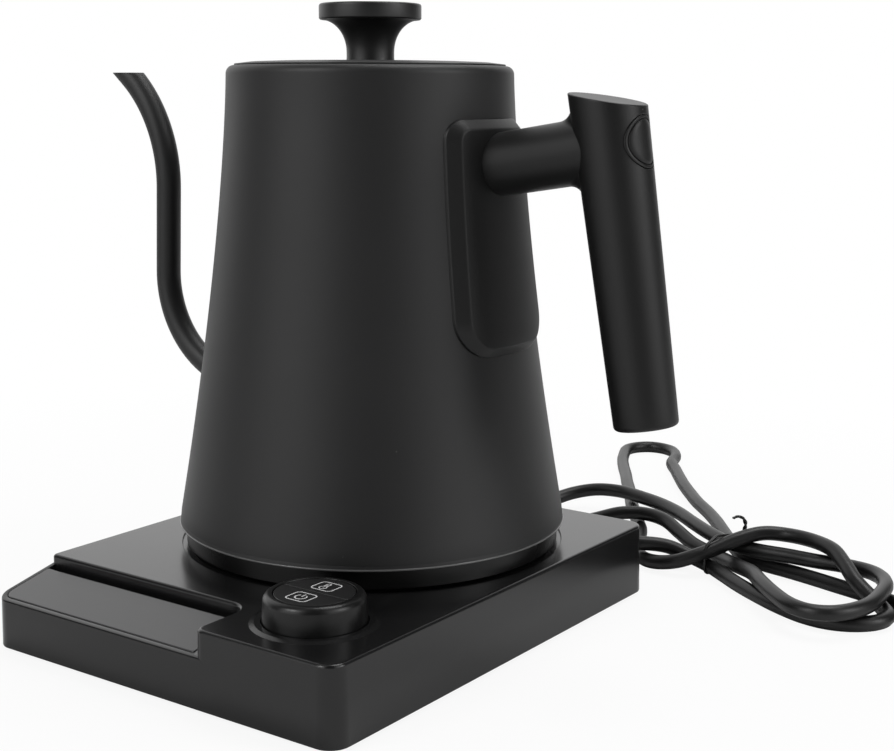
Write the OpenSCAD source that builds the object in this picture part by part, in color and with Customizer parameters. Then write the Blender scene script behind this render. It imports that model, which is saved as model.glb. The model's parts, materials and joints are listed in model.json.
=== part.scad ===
// Electric gooseneck kettle on a heating base, in millimetres.
// Origin: middle of the base's footprint on the table. +X is the handle side, -Y the control side.

/* [Base] */
// Width of the base, from the spout side to the handle side
base_w = 166; // [150:1:195]
// Depth of the base, from the controls to the cord
base_d = 204; // [190:1:245]
// Height of the deck above the table
base_h = 29.5; // [29:0.5:37]
// Corner radius of the base, seen from above
base_corner_r = 7.5; // [6:0.5:20]
// Wall and deck thickness of the base housing
base_wall = 2.5; // [2:0.1:3]
// Thickness of the bottom plate
plate_t = 2.5; // [2:0.1:3.5]
// Radius of a rubber foot
foot_r = 7; // [4:0.5:9]

/* [Display] */
// Length of the display recess, from the base's left side
recess_l = 104.3; // [90:0.1:108]
// Depth of the display recess, from the base's front
recess_d = 28; // [22:0.5:30]
// Height of the shelf's front edge above the table
shelf_front_z = 19.4; // [17:0.2:20]
// Slope of the shelf, in degrees
shelf_slope = 12.7; // [8:0.1:16]
// Thickness of the display panel
panel_t = 1.5; // [1:0.1:2]
// Width of the slot between the panel and the deck's wall
panel_slot_w = 3.5; // [2:0.5:5]

/* [Dial] */
// Distance of the dial's centre from the base's right side
dial_from_right = 33.3; // [28:0.1:36]
// Distance of the dial's centre from the base's front
dial_from_front = 30.3; // [26:0.1:32]
// Radius of the dial where it meets the deck
dial_r = 18.1; // [17.6:0.1:19]
// Height of the dial above the deck
dial_h = 10.7; // [9:0.1:13]
// Radius of the two half-disc buttons together
button_r = 14; // [13.9:0.1:14.6]
// Travel of each button
button_travel = 0.8; // [0.4:0.1:1]

/* [Kettle] */
// Radius of the kettle at its foot
kettle_foot_r = 77.1; // [64:0.1:78]
// Radius of the kettle below its rounded shoulder
kettle_rim_r = 55.2; // [53:0.1:66]
// Height of the steel body, from its foot ring to its rim
kettle_h = 177.4; // [147:0.1:213]
// How bell-shaped the wall is: 1 is a plain cone
kettle_flare = 1.46; // [1:0.02:1.6]
// Thickness of the steel wall
kettle_wall = 1; // [0.8:0.1:1.5]
// Distance of the kettle's axis behind the middle of the base
kettle_back = 22.5; // [22:0.5:24]

/* [Lid] */
// Radius of the lid opening
lid_hole_r = 45.5; // [42:0.1:46]
// Radius of the lid knob's disc
knob_r = 19.6; // [16:0.1:23]
// Radius of the lid knob's stem
knob_stem_r = 9.15; // [7:0.05:11]
// Height of the lid knob above the lid
knob_h = 21.6; // [19:0.1:26]

/* [Spout] */
// Outer radius of the spout tube
spout_r = 5.2; // [4.3:0.1:6.2]
// Wall of the spout tube
spout_wall = 0.8; // [0.6:0.1:1]
// Height of the spout's root above the kettle's foot ring
spout_root_h = 46.6; // [38:0.1:54]
// Drop from the kettle's rim to the spout's tip
spout_tip_drop = 2.4; // [0:0.1:10]
// Radius of the spout's lower bend
spout_low_r = 42; // [34:0.5:48]
// Radius of the spout's upper bend
spout_high_r = 58.3; // [48:0.1:64]

/* [Handle] */
// Distance from the kettle's axis to where arm and grip cross
handle_reach = 107.6; // [100:0.1:125]
// Drop from the rim to where arm and grip cross
handle_drop = 28.1; // [24:0.1:36]
// Lean of the grip, in degrees
grip_lean = 9.3; // [5:0.1:12]
// Radius of the grip at its top
grip_top_r = 13.6; // [12.5:0.1:15.7]
// Radius of the grip at its bottom end
grip_end_r = 11.6; // [9.2:0.1:13.4]
// Length of the grip
grip_l = 116; // [97:1:130]
// Radius of the arm
arm_r = 11.6; // [9.5:0.1:12]
// Thickness of the mounting pad on the body
pad_t = 4.2; // [3.5:0.1:6]

/* [Cord] */
// Diameter of the mains cord
cord_d = 6.4; // [5.4:0.1:6.4]
// Length of the strain relief outside the base
relief_l = 26; // [22:1:28]

/* [Hidden] */
$fn = 96;
eps = 0.01;
// Clearance between a moving piece and what it moves past
gap = 0.3;
// Clearance of a screw in its hole
screw_gap = 0.1;

// Levels of the base
housing_z = 1;
plate_z = 1.5;
plate_top = plate_z + plate_t;
deck_low = base_h - base_wall;
board_z = plate_top + 6;
board_t = 1.6;
board_top = board_z + board_t;

// Boards inside the base, each with its low corner and its size, and what stands on them
post_r = 3;
post_inset = 4;
control_board_at = [-52, -90];
control_board_size = [112, 38];
power_board_at = [-56, 50];
power_board_size = [112, 40];
relay_at = [-48, 58];
relay_size = [20, 16];
relay_h = 12;
transformer_at = [18, 60];
transformer_size = [24, 20];
transformer_h = 13;
capacitor_x = [-16, -2];
capacitor_y = 70;
capacitor_r = 5;
capacitor_h = 11;

// Feet and the screws that close the base
foot_inset = 24;
foot_seat = 1.5;
screw_inset = 13;
screw_r = 1.5;
screw_head_r = 3;
screw_head_h = 1.8;
boss_r = 4.5;

// Display recess
recess_x = recess_l - base_w / 2;
recess_y = recess_d - base_d / 2;
recess_in_r = 7.5;
recess_out_r = 4;
panel_border = 2.8;
panel_proud = 0.2;
panel_fit = 0.05;
slot_deeper = 1;
window_w = 62;
window_d = 13;
window_x = recess_x - 50;
module_t = 4;

// Dial and its buttons
dial_x = base_w / 2 - dial_from_right;
dial_y = dial_from_front - base_d / 2;
dish_r = dial_r + 4.2;
dish_depth = 0.8;
dish_z = base_h - dish_depth;
dial_z = dish_z + gap;
dial_top = base_h + dial_h;
dial_cup_r = button_r + gap;
dial_web_t = 2;
hub_in_r = 12;
hub_out_r = 13.2;
carrier_r = hub_in_r - 0.4;
carrier_flange_r = dial_cup_r - 0.4;
carrier_top = dial_top - 6.6;
carrier_t = 1.5;
switch_side = 6;
switch_h = 3.2;
switch_y = 6.2;
switch_floor = 0.6;
plunger_r = 1.7;
button_top = dial_top - 0.2;
button_t = 1.7;
button_split = 0.5;

// Seat of the kettle and the connector in its middle
seat_r = 76.3;
seat_depth = 0.8;
seat_z = base_h - seat_depth;
coupler_flange_r = 22;
coupler_r = 17.5;
coupler_top = seat_z + 2.3;
coupler_post_r = 6.5;
coupler_post_h = 7.5;
earth_pin_r = 2;
earth_pin_h = 2.5;
contact_r = [10, 13.5];
contact_t = 0.6;
contact_h = 5;

// Levels of the kettle
kettle_z = seat_z + gap;
foot_z = kettle_z + 9.4;
rim_z = foot_z + kettle_h;
cover_r = kettle_foot_r - 2.6;
cover_t = 2;
cover_top = foot_z - 0.7;
cover_hole_r = coupler_r + 1;
ring_top = cover_top + 1.7;
shell_z = ring_top + 0.3;
floor_z = kettle_z + 17;
floor_t = 1;
heater_t = 3;
element_r = 38;
element_tube_r = 3.3;
sensor_r = 3;
sensor_cap_r = 4.5;
sensor_l = 9;
sensor_y = 12 - element_r;
cutout_x = -28;
cutout_size = [9, 13, 7];
stud_r = 4;
stud_ring_r = cover_r - 13;
shoulder_r = 3.2;
lip_h = 8;
wall_steps = 16;

// Socket on the kettle's side of the connector
socket_flange_r = coupler_flange_r;
socket_r = 19;
socket_z = kettle_z + cover_t + gap;
socket_top = floor_z - heater_t - 0.5;
socket_bore_r = coupler_post_r + 0.5;
socket_bore_top = coupler_top + coupler_post_h + earth_pin_h + 0.6;

// Lid
lid_r = lid_hole_r - 0.6;
lid_low = rim_z - 0.9;
lid_top = rim_z + 1.6;
skirt_r = lid_hole_r - 2;
skirt_wall = 2;
skirt_h = 9;
seal_r = lid_hole_r - gap;
seal_z = lid_low - 4.4;
seal_groove = 1;
seal_root_h = 2.4;
seal_lip_h = 1;
knob_disc_h = 6;
knob_top = lid_top + knob_h;
flare_h = 12;
lid_screw_l = 12;
vent_ring_r = 30;
vent_r = 1.5;
vent_angles = [150, 180, 210];

// Spout
spout_lead = 2;
spout_lean = 2.5;
spout_end_angle = 52.7;
spout_sides = 24;
spout_root_z = foot_z + spout_root_h;
spout_tip_z = rim_z - spout_tip_drop;

// Handle
cross_z = rim_z - handle_drop;
grip_up = 16.7;
// Slope of the grip's cut top, falling outwards, and how far its round side runs on above the axis's end
grip_cut = 18;
grip_over = 6;
pad_top = cross_z + 8.7;
pad_bottom = cross_z - 77.3;
pad_top_w = 47;
pad_bottom_w = 52;
pad_top_r = 8;
pad_bottom_r = 14;
bracket_t = 1.2;
bracket_w = 24;
bracket_up = 12;
bracket_down = 22;
bracket_boss_r = 6;
bracket_boss_l = 5;
bolt_r = 2.4;
bolt_head_r = 4.8;
bolt_head_h = 4;
cap_r = 9.6;
cap_step = 5.5;

// Cord, plug and tie
cord_r = cord_d / 2;
gland_x = -10;
gland_z = 12;
gland_neck_r = 5;
gland_collar_r = 7.5;
gland_collar_t = 2;
relief_skin = 0.9;
cord_sides = 10;
cord_steps = 2;
// The cord's route over the table, out of the base to the tied bundle
cord_route = [
    [-10, 128, 12], [-10, 142, 11], [-12, 157, 7], [-15, 171, 4.5], [-15, 184, 5], [-9, 195, 7.5],
    [1, 202, 9.5], [14, 204, 10]
];
// The route from the bundle to the plug, which ends at the plug's neck
plug_route = [
    [184, 137, 3.4], [197, 133, 4], [210, 133, 6], [222, 139, 8.5], [230, 151, 11], [232, 166, 12]
];
plug_at = plug_route[len(plug_route) - 1];
plug_neck_l = 26;
plug_neck_r = 6.5;
plug_l = 34;
plug_w = 26;
plug_h = 23;
plug_corner_r = 6;
// Blades and earth pin of the plug
blade_apart = 6.35;
blade_t = 1.6;
blade_w = 6.3;
blade_l = 17.5;
earth_r = 2.4;
earth_l = 20;
earth_drop = 6;
// The bundle: where it is tied, and each of its lobes as the circles that it runs through from there, with the
// middle and radius of each
tie_at = [98, 148];
tie_turn = -15;
tie_w = 2;
tie_t = 0.6;
tie_h = 14.5;
tie_r = 5;
hank_lobes = [
    [[62, 172, 30], [-20, 303, 26]],
    [[33, 143, 36]],
    [[140, 128, 46]]
];
hank_neck_r = 14;
hank_h = 20.4;
hank_lift = 0.2;

// ---- Shared shapes ----

module at_kettle() { translate([0, kettle_back, 0]) children(); }
module at_dial() { translate([dial_x, dial_y, 0]) children(); }

// A flat rectangle with round corners, centred
module round_rect(w, d, r) {
    square([w - 2 * r, d], center = true);
    square([w, d - 2 * r], center = true);
    for (x = [-1, 1], y = [-1, 1])
        translate([x * (w / 2 - r), y * (d / 2 - r)]) circle(r);
}

module base_block(inset, z0, z1) {
    translate([0, 0, z0]) linear_extrude(z1 - z0)
        round_rect(base_w - 2 * inset, base_d - 2 * inset, base_corner_r - inset);
}

module disc(r, z0, z1) { translate([0, 0, z0]) cylinder(r = r, h = z1 - z0); }

module ring(r_in, r_out, z0, z1) {
    difference() {
        disc(r_out, z0, z1);
        disc(r_in, z0 - 1, z1 + 1);
    }
}

function unit(v) = v / norm(v);
// A point of the smooth curve between route points i and i + 1
function curve_point(route, i, t) =
    let (
        last = len(route) - 1,
        a = route[max(i - 1, 0)], b = route[i],
        c = route[min(i + 1, last)], d = route[min(i + 2, last)]
    )
    0.5 * ((2 * b) + (c - a) * t + (2 * a - 5 * b + 4 * c - d) * t * t
        + (3 * b - a - 3 * c + d) * t * t * t);
function curve(route, steps) = concat(
    [for (i = [0:len(route) - 2], k = [0:steps - 1]) curve_point(route, i, k / steps)],
    [route[len(route) - 1]]
);

// A round bar of radius r swept along a list of points that never run along the direction aside
module swept_bar(path, r, sides, aside) {
    n = len(path);
    tangents = [for (i = [0:n - 1]) unit(path[min(i + 1, n - 1)] - path[max(i - 1, 0)])];
    rings = [for (i = [0:n - 1]) let (
            side = unit(cross(tangents[i], aside)),
            up = cross(side, tangents[i])
        ) for (k = [0:sides - 1]) let (a = 360 * k / sides)
            path[i] + r * (cos(a) * side + sin(a) * up)];
    walls = [for (i = [0:n - 2], k = [0:sides - 1]) let (j = (k + 1) % sides)
        [i * sides + k, i * sides + j, (i + 1) * sides + j, (i + 1) * sides + k]];
    polyhedron(rings, concat(
        [[for (k = [sides - 1:-1:0]) k]], walls, [[for (k = [0:sides - 1]) (n - 1) * sides + k]]
    ));
}

// ---- The kettle's wall curve ----

function wall_r(z) =
    kettle_rim_r + (kettle_foot_r - kettle_rim_r)
    * pow(max(0, 1 - (z - foot_z) / kettle_h), kettle_flare);

wall_end = rim_z - shoulder_r;
wall_z = [for (i = [0:wall_steps]) shell_z + (wall_end - shell_z) * i / wall_steps];

// Everything inside the wall's outer surface, grown outwards by out
module wall_solid(out) {
    rotate_extrude()
        polygon(concat([[0, shell_z]], [for (z = wall_z) [wall_r(z) + out, z]], [[0, wall_end]]));
}

// ---- Kettle ----

module kettle_body() {
    edge_r = wall_r(wall_end);
    outer = [for (z = wall_z) [wall_r(z), z]];
    shoulder = [for (a = [15:15:90])
        [edge_r - shoulder_r + shoulder_r * cos(a), wall_end + shoulder_r * sin(a)]];
    lip = [
        [lid_hole_r, rim_z], [lid_hole_r, rim_z - lip_h],
        [lid_hole_r + kettle_wall, rim_z - lip_h], [lid_hole_r + kettle_wall, rim_z - kettle_wall],
        [edge_r - shoulder_r, rim_z - kettle_wall]
    ];
    inner = [for (i = [wall_steps:-1:0]) [wall_r(wall_z[i]) - kettle_wall, wall_z[i]]];
    color("#2b2b2c") at_kettle() difference() {
        rotate_extrude() polygon(concat(outer, shoulder, lip, inner));
        translate([0, 0, spout_root_z]) rotate([0, -90, 0])
            cylinder(r = spout_r - spout_wall, h = kettle_foot_r + 5);
    }
}

// The gooseneck's middle line in the XZ plane: out of the wall, round the lower bend, up and
// round the upper bend, and past its tip
function spout_line() =
    let (
        low = [-wall_r(spout_root_z) - spout_lead, spout_root_z + spout_low_r],
        low_end = low + spout_low_r * [-cos(spout_lean), sin(spout_lean)],
        high_start_z = spout_tip_z - spout_high_r * (sin(spout_end_angle) + sin(spout_lean)),
        rise = (high_start_z - low_end[1]) / cos(spout_lean),
        high_start = low_end + rise * [sin(spout_lean), cos(spout_lean)],
        high = high_start + spout_high_r * [-cos(spout_lean), sin(spout_lean)]
    )
    concat(
        [[low[0] + 10, 0, spout_root_z]],
        [for (i = [0:10]) let (a = -90 - (90 + spout_lean) * i / 10)
            [low[0] + spout_low_r * cos(a), 0, low[1] + spout_low_r * sin(a)]],
        [for (i = [0:9]) let (a = (spout_end_angle + spout_lean + 9) * i / 9 - spout_lean)
            [high[0] + spout_high_r * cos(a), 0, high[1] + spout_high_r * sin(a)]]
    );

module spout() {
    color("#29292a") at_kettle() difference() {
        swept_bar(spout_line(), spout_r, spout_sides, [0, 1, 0]);
        swept_bar(spout_line(), spout_r - spout_wall, spout_sides, [0, 1, 0]);
        wall_solid(0);
        translate([-kettle_foot_r * 3, -20, spout_tip_z]) cube([kettle_foot_r * 3, 40, 40]);
    }
}

module kettle_floor() {
    color("#8f9193") at_kettle() disc(wall_r(floor_z + floor_t) - kettle_wall, floor_z, floor_z + floor_t);
}

heater_r = wall_r(floor_z) - 24;

module heater_plate() {
    color("#a8aaad") at_kettle() difference() {
        disc(heater_r, floor_z - heater_t, floor_z);
        translate([0, sensor_y, 0]) disc(sensor_r + gap, floor_z - heater_t - 1, floor_z + 1);
    }
}

module heating_element() {
    z = floor_z - heater_t - element_tube_r;
    color("#6d6f72") at_kettle() translate([0, 0, z]) rotate([0, 0, -60])
        rotate_extrude(angle = 300) translate([element_r, 0]) circle(element_tube_r);
}

module temperature_sensor() {
    color("#b9bbbe") at_kettle() translate([0, sensor_y, 0]) {
        disc(sensor_r, floor_z - sensor_l, floor_z);
        disc(sensor_cap_r, floor_z - sensor_l, floor_z - sensor_l + 3);
    }
}

module thermal_cutout() {
    color("#d8d2c4") at_kettle()
        translate([cutout_x, 0, floor_z - heater_t - cutout_size[2] / 2])
            cube(cutout_size, center = true);
}

module foot_ring() {
    r = kettle_foot_r;
    color("#3a3a3b") at_kettle() rotate_extrude() polygon([
        [cover_r - 3, cover_top], [r - 0.5, cover_top], [r, cover_top + 0.5],
        [r, ring_top - 0.4], [r - 0.4, ring_top], [cover_r - 3, ring_top]
    ]);
}

module stud_places() {
    for (a = [90, 210, 330]) rotate([0, 0, a]) translate([stud_ring_r, 0, 0]) children();
}

module kettle_bottom_cover() {
    color("#1f1f20") at_kettle() difference() {
        union() {
            rotate_extrude() polygon([
                [cover_hole_r, kettle_z], [cover_r - 1.5, kettle_z], [cover_r, kettle_z + 1.5],
                [cover_r, cover_top], [cover_r - cover_t, cover_top],
                [cover_r - cover_t, kettle_z + cover_t], [cover_hole_r, kettle_z + cover_t]
            ]);
            stud_places() disc(stud_r, kettle_z + cover_t - eps, floor_z);
        }
        stud_places() {
            disc(screw_r + screw_gap, kettle_z - 1, floor_z - 1);
            disc(screw_head_r + screw_gap, kettle_z - 1, kettle_z + screw_head_h + 0.4);
        }
    }
}

module bottom_cover_screws() {
    z = kettle_z + 0.4;
    color("#77797c") at_kettle() stud_places() {
        disc(screw_head_r, z, z + screw_head_h);
        disc(screw_r, z, floor_z - 3);
    }
}

// ---- Handle ----

function arc(cx, cy, r, a0, a1) = [for (i = [0:6]) let (a = a0 + (a1 - a0) * i / 6)
    [cx + r * cos(a), cy + r * sin(a)]];

// The pad's outline seen along X, grown by out: narrow at the top, with larger round corners below
module pad_outline(out) {
    top = pad_top + out;
    bottom = pad_bottom - out;
    tw = pad_top_w / 2 + out;
    bw = pad_bottom_w / 2 + out;
    tr = pad_top_r + out;
    br = pad_bottom_r + out;
    polygon(concat(
        arc(tw - tr, top - tr, tr, 90, 0), arc(bw - br, bottom + br, br, 0, -90),
        arc(-bw + br, bottom + br, br, -90, -180), arc(-tw + tr, top - tr, tr, 180, 90)
    ));
}

// What stands out from the body's wall between two offsets, behind an outline drawn in the YZ plane
module on_wall(inner, outer) {
    difference() {
        intersection() {
            rotate([90, 0, 90]) linear_extrude(kettle_foot_r + 20) children();
            wall_solid(outer);
        }
        wall_solid(inner);
    }
}

module at_cross() {
    at_kettle() translate([handle_reach, 0, cross_z]) rotate([0, -grip_lean, 0]) children();
}

// A round hole or bar along the arm's axis, from x0 to x1 measured from where arm and grip cross
module along_arm(r, x0, x1) {
    translate([x0, 0, 0]) rotate([0, 90, 0]) cylinder(r = r, h = x1 - x0);
}

module bracket_outline(out) {
    translate([0, arm_root_z + (bracket_up - bracket_down) / 2])
        round_rect(bracket_w + 2 * out, bracket_up + bracket_down + 2 * out, 4 + out);
}

// Where the arm's axis meets the wall, and the arm's length from there
arm_root_z = cross_z - (handle_reach - kettle_rim_r) * tan(grip_lean);
arm_l = (handle_reach - wall_r(arm_root_z)) / cos(grip_lean);

module handle_bracket() {
    color("#7d7f82") difference() {
        union() {
            at_kettle() on_wall(0, bracket_t) bracket_outline(0);
            difference() {
                at_cross() along_arm(bracket_boss_r, -arm_l - 10, -arm_l + bracket_boss_l);
                at_kettle() wall_solid(0);
            }
        }
        at_cross() along_arm(bolt_r + screw_gap, -arm_l - 2, -arm_l + 20);
    }
}

module handle_pad() {
    color("#1d1d1e") difference() {
        at_kettle() on_wall(0, pad_t) pad_outline(0);
        at_kettle() on_wall(-1, bracket_t + gap) bracket_outline(gap);
        at_cross() along_arm(bracket_boss_r + screw_gap, -arm_l - 12, 0);
    }
}

module grip_cone() {
    h = grip_l + grip_over;
    translate([0, 0, grip_up - grip_l])
        cylinder(r1 = grip_end_r, r2 = grip_end_r + (grip_top_r - grip_end_r) * h / grip_l, h = h);
}

module grip_solid() {
    side = 4 * grip_top_r;
    difference() {
        grip_cone();
        translate([0, 0, grip_up]) rotate([0, grip_cut, 0]) translate([0, 0, side / 2]) cube(side, center = true);
    }
}

module handle() {
    color("#1f1f20") difference() {
        at_cross() {
            grip_solid();
            along_arm(arm_r, -arm_l - 10, 0);
        }
        at_kettle() wall_solid(pad_t);
        at_cross() {
            along_arm(bracket_boss_r + screw_gap, -arm_l - 12, -arm_l + bracket_boss_l + gap);
            along_arm(bolt_r + screw_gap, -arm_l, 0);
            along_arm(bolt_head_r + screw_gap, -1, cap_step + eps);
            along_arm(cap_r + screw_gap, cap_step, grip_top_r + 2);
        }
    }
}

module handle_bolt() {
    color("#8a8c8f") at_cross() {
        along_arm(bolt_head_r, -1, -1 + bolt_head_h);
        along_arm(bolt_r, -arm_l + 1, 0);
    }
}

module grip_cap() {
    color("#1a1a1b") at_cross() difference() {
        intersection() {
            grip_cone();
            along_arm(cap_r, cap_step, grip_top_r + 2);
        }
        difference() {
            along_arm(cap_r - 1.1, cap_step + 1.5, grip_top_r + 2);
            along_arm(cap_r - 1.8, cap_step + 1, grip_top_r + 3);
        }
    }
}

// ---- Kettle's side of the connector ----

module coupler_socket() {
    low = socket_z;
    color("#2a2b2d") at_kettle() difference() {
        union() {
            disc(socket_flange_r, low, low + 2);
            disc(socket_r, low, socket_top);
        }
        disc(socket_bore_r, low - 1, socket_bore_top);
        for (r = contact_r) ring(r - 0.9, r + 0.9, low - 1, coupler_top + contact_h + 0.8);
    }
}

// ---- Lid ----

module lid_vents(z0, z1) {
    for (a = vent_angles) rotate([0, 0, a]) translate([vent_ring_r, 0, 0]) disc(vent_r, z0, z1);
}

module lid_plate() {
    color("#262627") at_kettle() difference() {
        rotate_extrude() polygon([
            [0, lid_low], [lid_r, lid_low], [lid_r, lid_top - 0.6], [lid_r - 0.6, lid_top], [0, lid_top]
        ]);
        disc(screw_r + screw_gap, lid_low - 1, lid_top + 1);
        lid_vents(lid_low - 1, lid_top + 1);
    }
}

module lid_skirt() {
    color("#1b1b1c") at_kettle() difference() {
        disc(skirt_r, lid_low - skirt_h, lid_low);
        disc(skirt_r - skirt_wall, lid_low - skirt_h - 1, lid_low - skirt_wall);
        ring(skirt_r - seal_groove, skirt_r + 1, seal_z - seal_root_h / 2, seal_z + seal_root_h / 2);
        disc(screw_r + screw_gap, lid_low - skirt_wall - 1, lid_low + 1);
        lid_vents(lid_low - skirt_wall - 1, lid_low + 1);
    }
}

module lid_seal() {
    root = seal_root_h / 2;
    lip = seal_lip_h / 2;
    color("#3b3c3d") at_kettle() translate([0, 0, seal_z]) rotate_extrude() polygon([
        [skirt_r - seal_groove, -root], [skirt_r, -root], [seal_r, -lip], [seal_r, lip],
        [skirt_r, root], [skirt_r - seal_groove, root]
    ]);
}

module lid_knob() {
    disc_z = knob_top - knob_disc_h;
    flare_r = knob_r - 0.5 - knob_stem_r;
    flare = [for (a = [0:10:90])
        [knob_stem_r + flare_r * (1 - cos(a)), disc_z - flare_h * (1 - sin(a))]];
    color("#2e2e2f") at_kettle() difference() {
        rotate_extrude() polygon(concat(
            [[0, lid_top], [knob_stem_r, lid_top]], flare,
            [[knob_r, disc_z + 0.8], [knob_r, knob_top - 1], [knob_r - 1, knob_top], [0, knob_top]]
        ));
        disc(screw_r + screw_gap, lid_top - 1, lid_top + lid_screw_l + 2);
    }
}

module lid_screw() {
    z = lid_low - skirt_wall;
    color("#8a8c8f") at_kettle() {
        disc(screw_head_r, z - screw_head_h, z);
        disc(screw_r, z - eps, lid_top + lid_screw_l);
    }
}

// ---- Base ----

function shelf_z(y) = shelf_front_z + (y + base_d / 2) * tan(shelf_slope);

// Everything above the sloped shelf, lowered by down
module above_shelf(down) {
    y0 = -base_d / 2 - 5;
    y1 = recess_y + 20;
    rotate([90, 0, 90]) translate([0, 0, -base_w]) linear_extrude(2 * base_w)
        polygon([[y0, shelf_z(y0) - down], [y1, shelf_z(y1) - down], [y1, base_h + 40], [y0, base_h + 40]]);
}

// The recess seen from above, grown by out
module recess_plan(out) {
    r = recess_in_r + out;
    x1 = recess_x + out;
    y1 = recess_y + out;
    x0 = -base_w / 2 - 10;
    y0 = -base_d / 2 - 10;
    translate([x0, y0]) square([x1 - x0, y1 - r - y0]);
    translate([x0, y0]) square([x1 - r - x0, y1 - y0]);
    translate([x1 - r, y1 - r]) circle(r);
}

// The corner of the deck beside the recess is rounded off
module recess_corner() {
    c = [recess_x + recess_out_r, -base_d / 2 + recess_out_r];
    difference() {
        translate([recess_x - eps, -base_d / 2 - 1]) square([recess_out_r + eps, recess_out_r + 1]);
        translate(c) circle(recess_out_r);
    }
}

module recess_cut() {
    intersection() {
        translate([0, 0, 5]) linear_extrude(base_h) {
            recess_plan(0);
            recess_corner();
        }
        above_shelf(0);
    }
}

module panel_plan(in) {
    intersection() {
        round_rect(base_w - 2 * (panel_border + in), base_d - 2 * (panel_border + in),
            base_corner_r - panel_border - in);
        translate([-base_w, -base_d])
            square([base_w + recess_x - panel_border - in, base_d + recess_y - panel_slot_w - in]);
    }
}

module panel_slab(in, down, up) {
    difference() {
        intersection() {
            translate([0, 0, 5]) linear_extrude(base_h) panel_plan(in);
            above_shelf(down);
        }
        above_shelf(-up);
    }
}

module base_screw_places() {
    for (x = [-1, 1], y = [-1, 1])
        translate([x * (base_w / 2 - screw_inset), y * (base_d / 2 - screw_inset), 0]) children();
}

module base_housing() {
    color("#333334") difference() {
        union() {
            difference() {
                base_block(0, housing_z, base_h);
                difference() {
                    base_block(base_wall, housing_z - 1, deck_low);
                    intersection() {
                        translate([0, 0, 5]) linear_extrude(base_h) recess_plan(base_wall);
                        above_shelf(panel_t + slot_deeper + 1);
                    }
                }
            }
            base_screw_places() disc(boss_r, plate_top, base_h - 1);
        }
        recess_cut();
        panel_slab(-panel_fit, panel_t - panel_proud, 1);
        intersection() {
            translate([-base_w / 2 + panel_border, recess_y - panel_slot_w - eps, 5])
                cube([recess_l - panel_border - recess_in_r, panel_slot_w, base_h]);
            above_shelf(slot_deeper);
        }
        translate([window_x - window_w / 2, recess_y - panel_slot_w - 3 - window_d, plate_top])
            cube([window_w, window_d, base_h]);
        at_kettle() disc(seat_r, seat_z, base_h + 1);
        at_kettle() disc(coupler_r + gap, deck_low - 1, base_h + 1);
        at_dial() translate([0, 0, dish_z])
            cylinder(r1 = dish_r - 1.6, r2 = dish_r, h = dish_depth + eps);
        at_dial() disc(hub_out_r + 0.4, deck_low - 1, base_h + 1);
        base_screw_places() disc(screw_r + screw_gap, plate_top - 1, 16);
        translate([gland_x, base_d / 2 + 1, gland_z]) rotate([90, 0, 0])
            cylinder(r = gland_neck_r + screw_gap, h = base_wall + 2);
    }
}

module foot_places() {
    for (x = [-1, 1], y = [-1, 1])
        translate([x * (base_w / 2 - foot_inset), y * (base_d / 2 - foot_inset), 0]) children();
}

// The four corners of a board, where its posts stand
module board_corners(at, size) {
    for (x = [post_inset, size[0] - post_inset], y = [post_inset, size[1] - post_inset])
        translate([at[0] + x, at[1] + y, 0]) children();
}

module board_posts() {
    board_corners(control_board_at, control_board_size) disc(post_r, plate_top - eps, board_z);
    board_corners(power_board_at, power_board_size) disc(post_r, plate_top - eps, board_z);
}

module base_bottom_plate() {
    color("#191919") difference() {
        union() {
            base_block(base_wall + 0.2, plate_z, plate_top);
            board_posts();
        }
        foot_places() disc(foot_r + screw_gap, plate_z - 1, plate_z + foot_seat);
        base_screw_places() {
            disc(screw_r + screw_gap, plate_z - 1, plate_top + 1);
            disc(screw_head_r + screw_gap, plate_z - 1, plate_z + screw_head_h - 0.4);
        }
    }
}

module base_screws() {
    z = plate_z - 0.4;
    color("#77797c") base_screw_places() {
        disc(screw_head_r, z, z + screw_head_h);
        disc(screw_r, z, 14);
    }
}

module rubber_feet() {
    color("#101010") foot_places() disc(foot_r, 0, plate_z + foot_seat);
}

module display_panel() {
    color("#5c5d5f") panel_slab(0, panel_t - panel_proud, panel_proud);
}

module display_module() {
    y = recess_y - panel_slot_w - 3 - window_d / 2;
    color("#151516") translate([window_x, y, shelf_z(y) - panel_t + panel_proud])
        rotate([shelf_slope, 0, 0]) translate([0, 0, -module_t / 2])
            cube([window_w - 4, window_d - 3, module_t], center = true);
}

// A board or a part on a board: its low corner, its size seen from above and its height
module board_block(at, z, size, h) {
    translate([at[0], at[1], z]) cube([size[0], size[1], h]);
}

module control_board() {
    color("#1e5a3a") board_block(control_board_at, board_z, control_board_size, board_t);
}

module power_board() {
    color("#1e5a3a") board_block(power_board_at, board_z, power_board_size, board_t);
}

// Relay, transformer and filter capacitors on the power board
module power_parts() {
    color("#26425e") {
        board_block(relay_at, board_top, relay_size, relay_h);
        board_block(transformer_at, board_top, transformer_size, transformer_h);
        for (x = capacitor_x) translate([x, capacitor_y, 0])
            disc(capacitor_r, board_top, board_top + capacitor_h);
    }
}

module base_coupler() {
    color("#232425") at_kettle() difference() {
        union() {
            disc(coupler_flange_r, deck_low - 2, deck_low);
            disc(coupler_r, deck_low - 2, coupler_top);
            disc(coupler_post_r, deck_low, coupler_top + coupler_post_h);
        }
        for (r = contact_r) ring(r - contact_t / 2, r + contact_t / 2, coupler_top - 3, coupler_top + 1);
        disc(earth_pin_r, coupler_top, coupler_top + coupler_post_h + 1);
    }
}

module coupler_contacts() {
    color("#b08d4f") at_kettle() {
        for (r = contact_r)
            ring(r - contact_t / 2, r + contact_t / 2, coupler_top - 3, coupler_top + contact_h);
        disc(earth_pin_r, coupler_top, coupler_top + coupler_post_h + earth_pin_h);
    }
}

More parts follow.
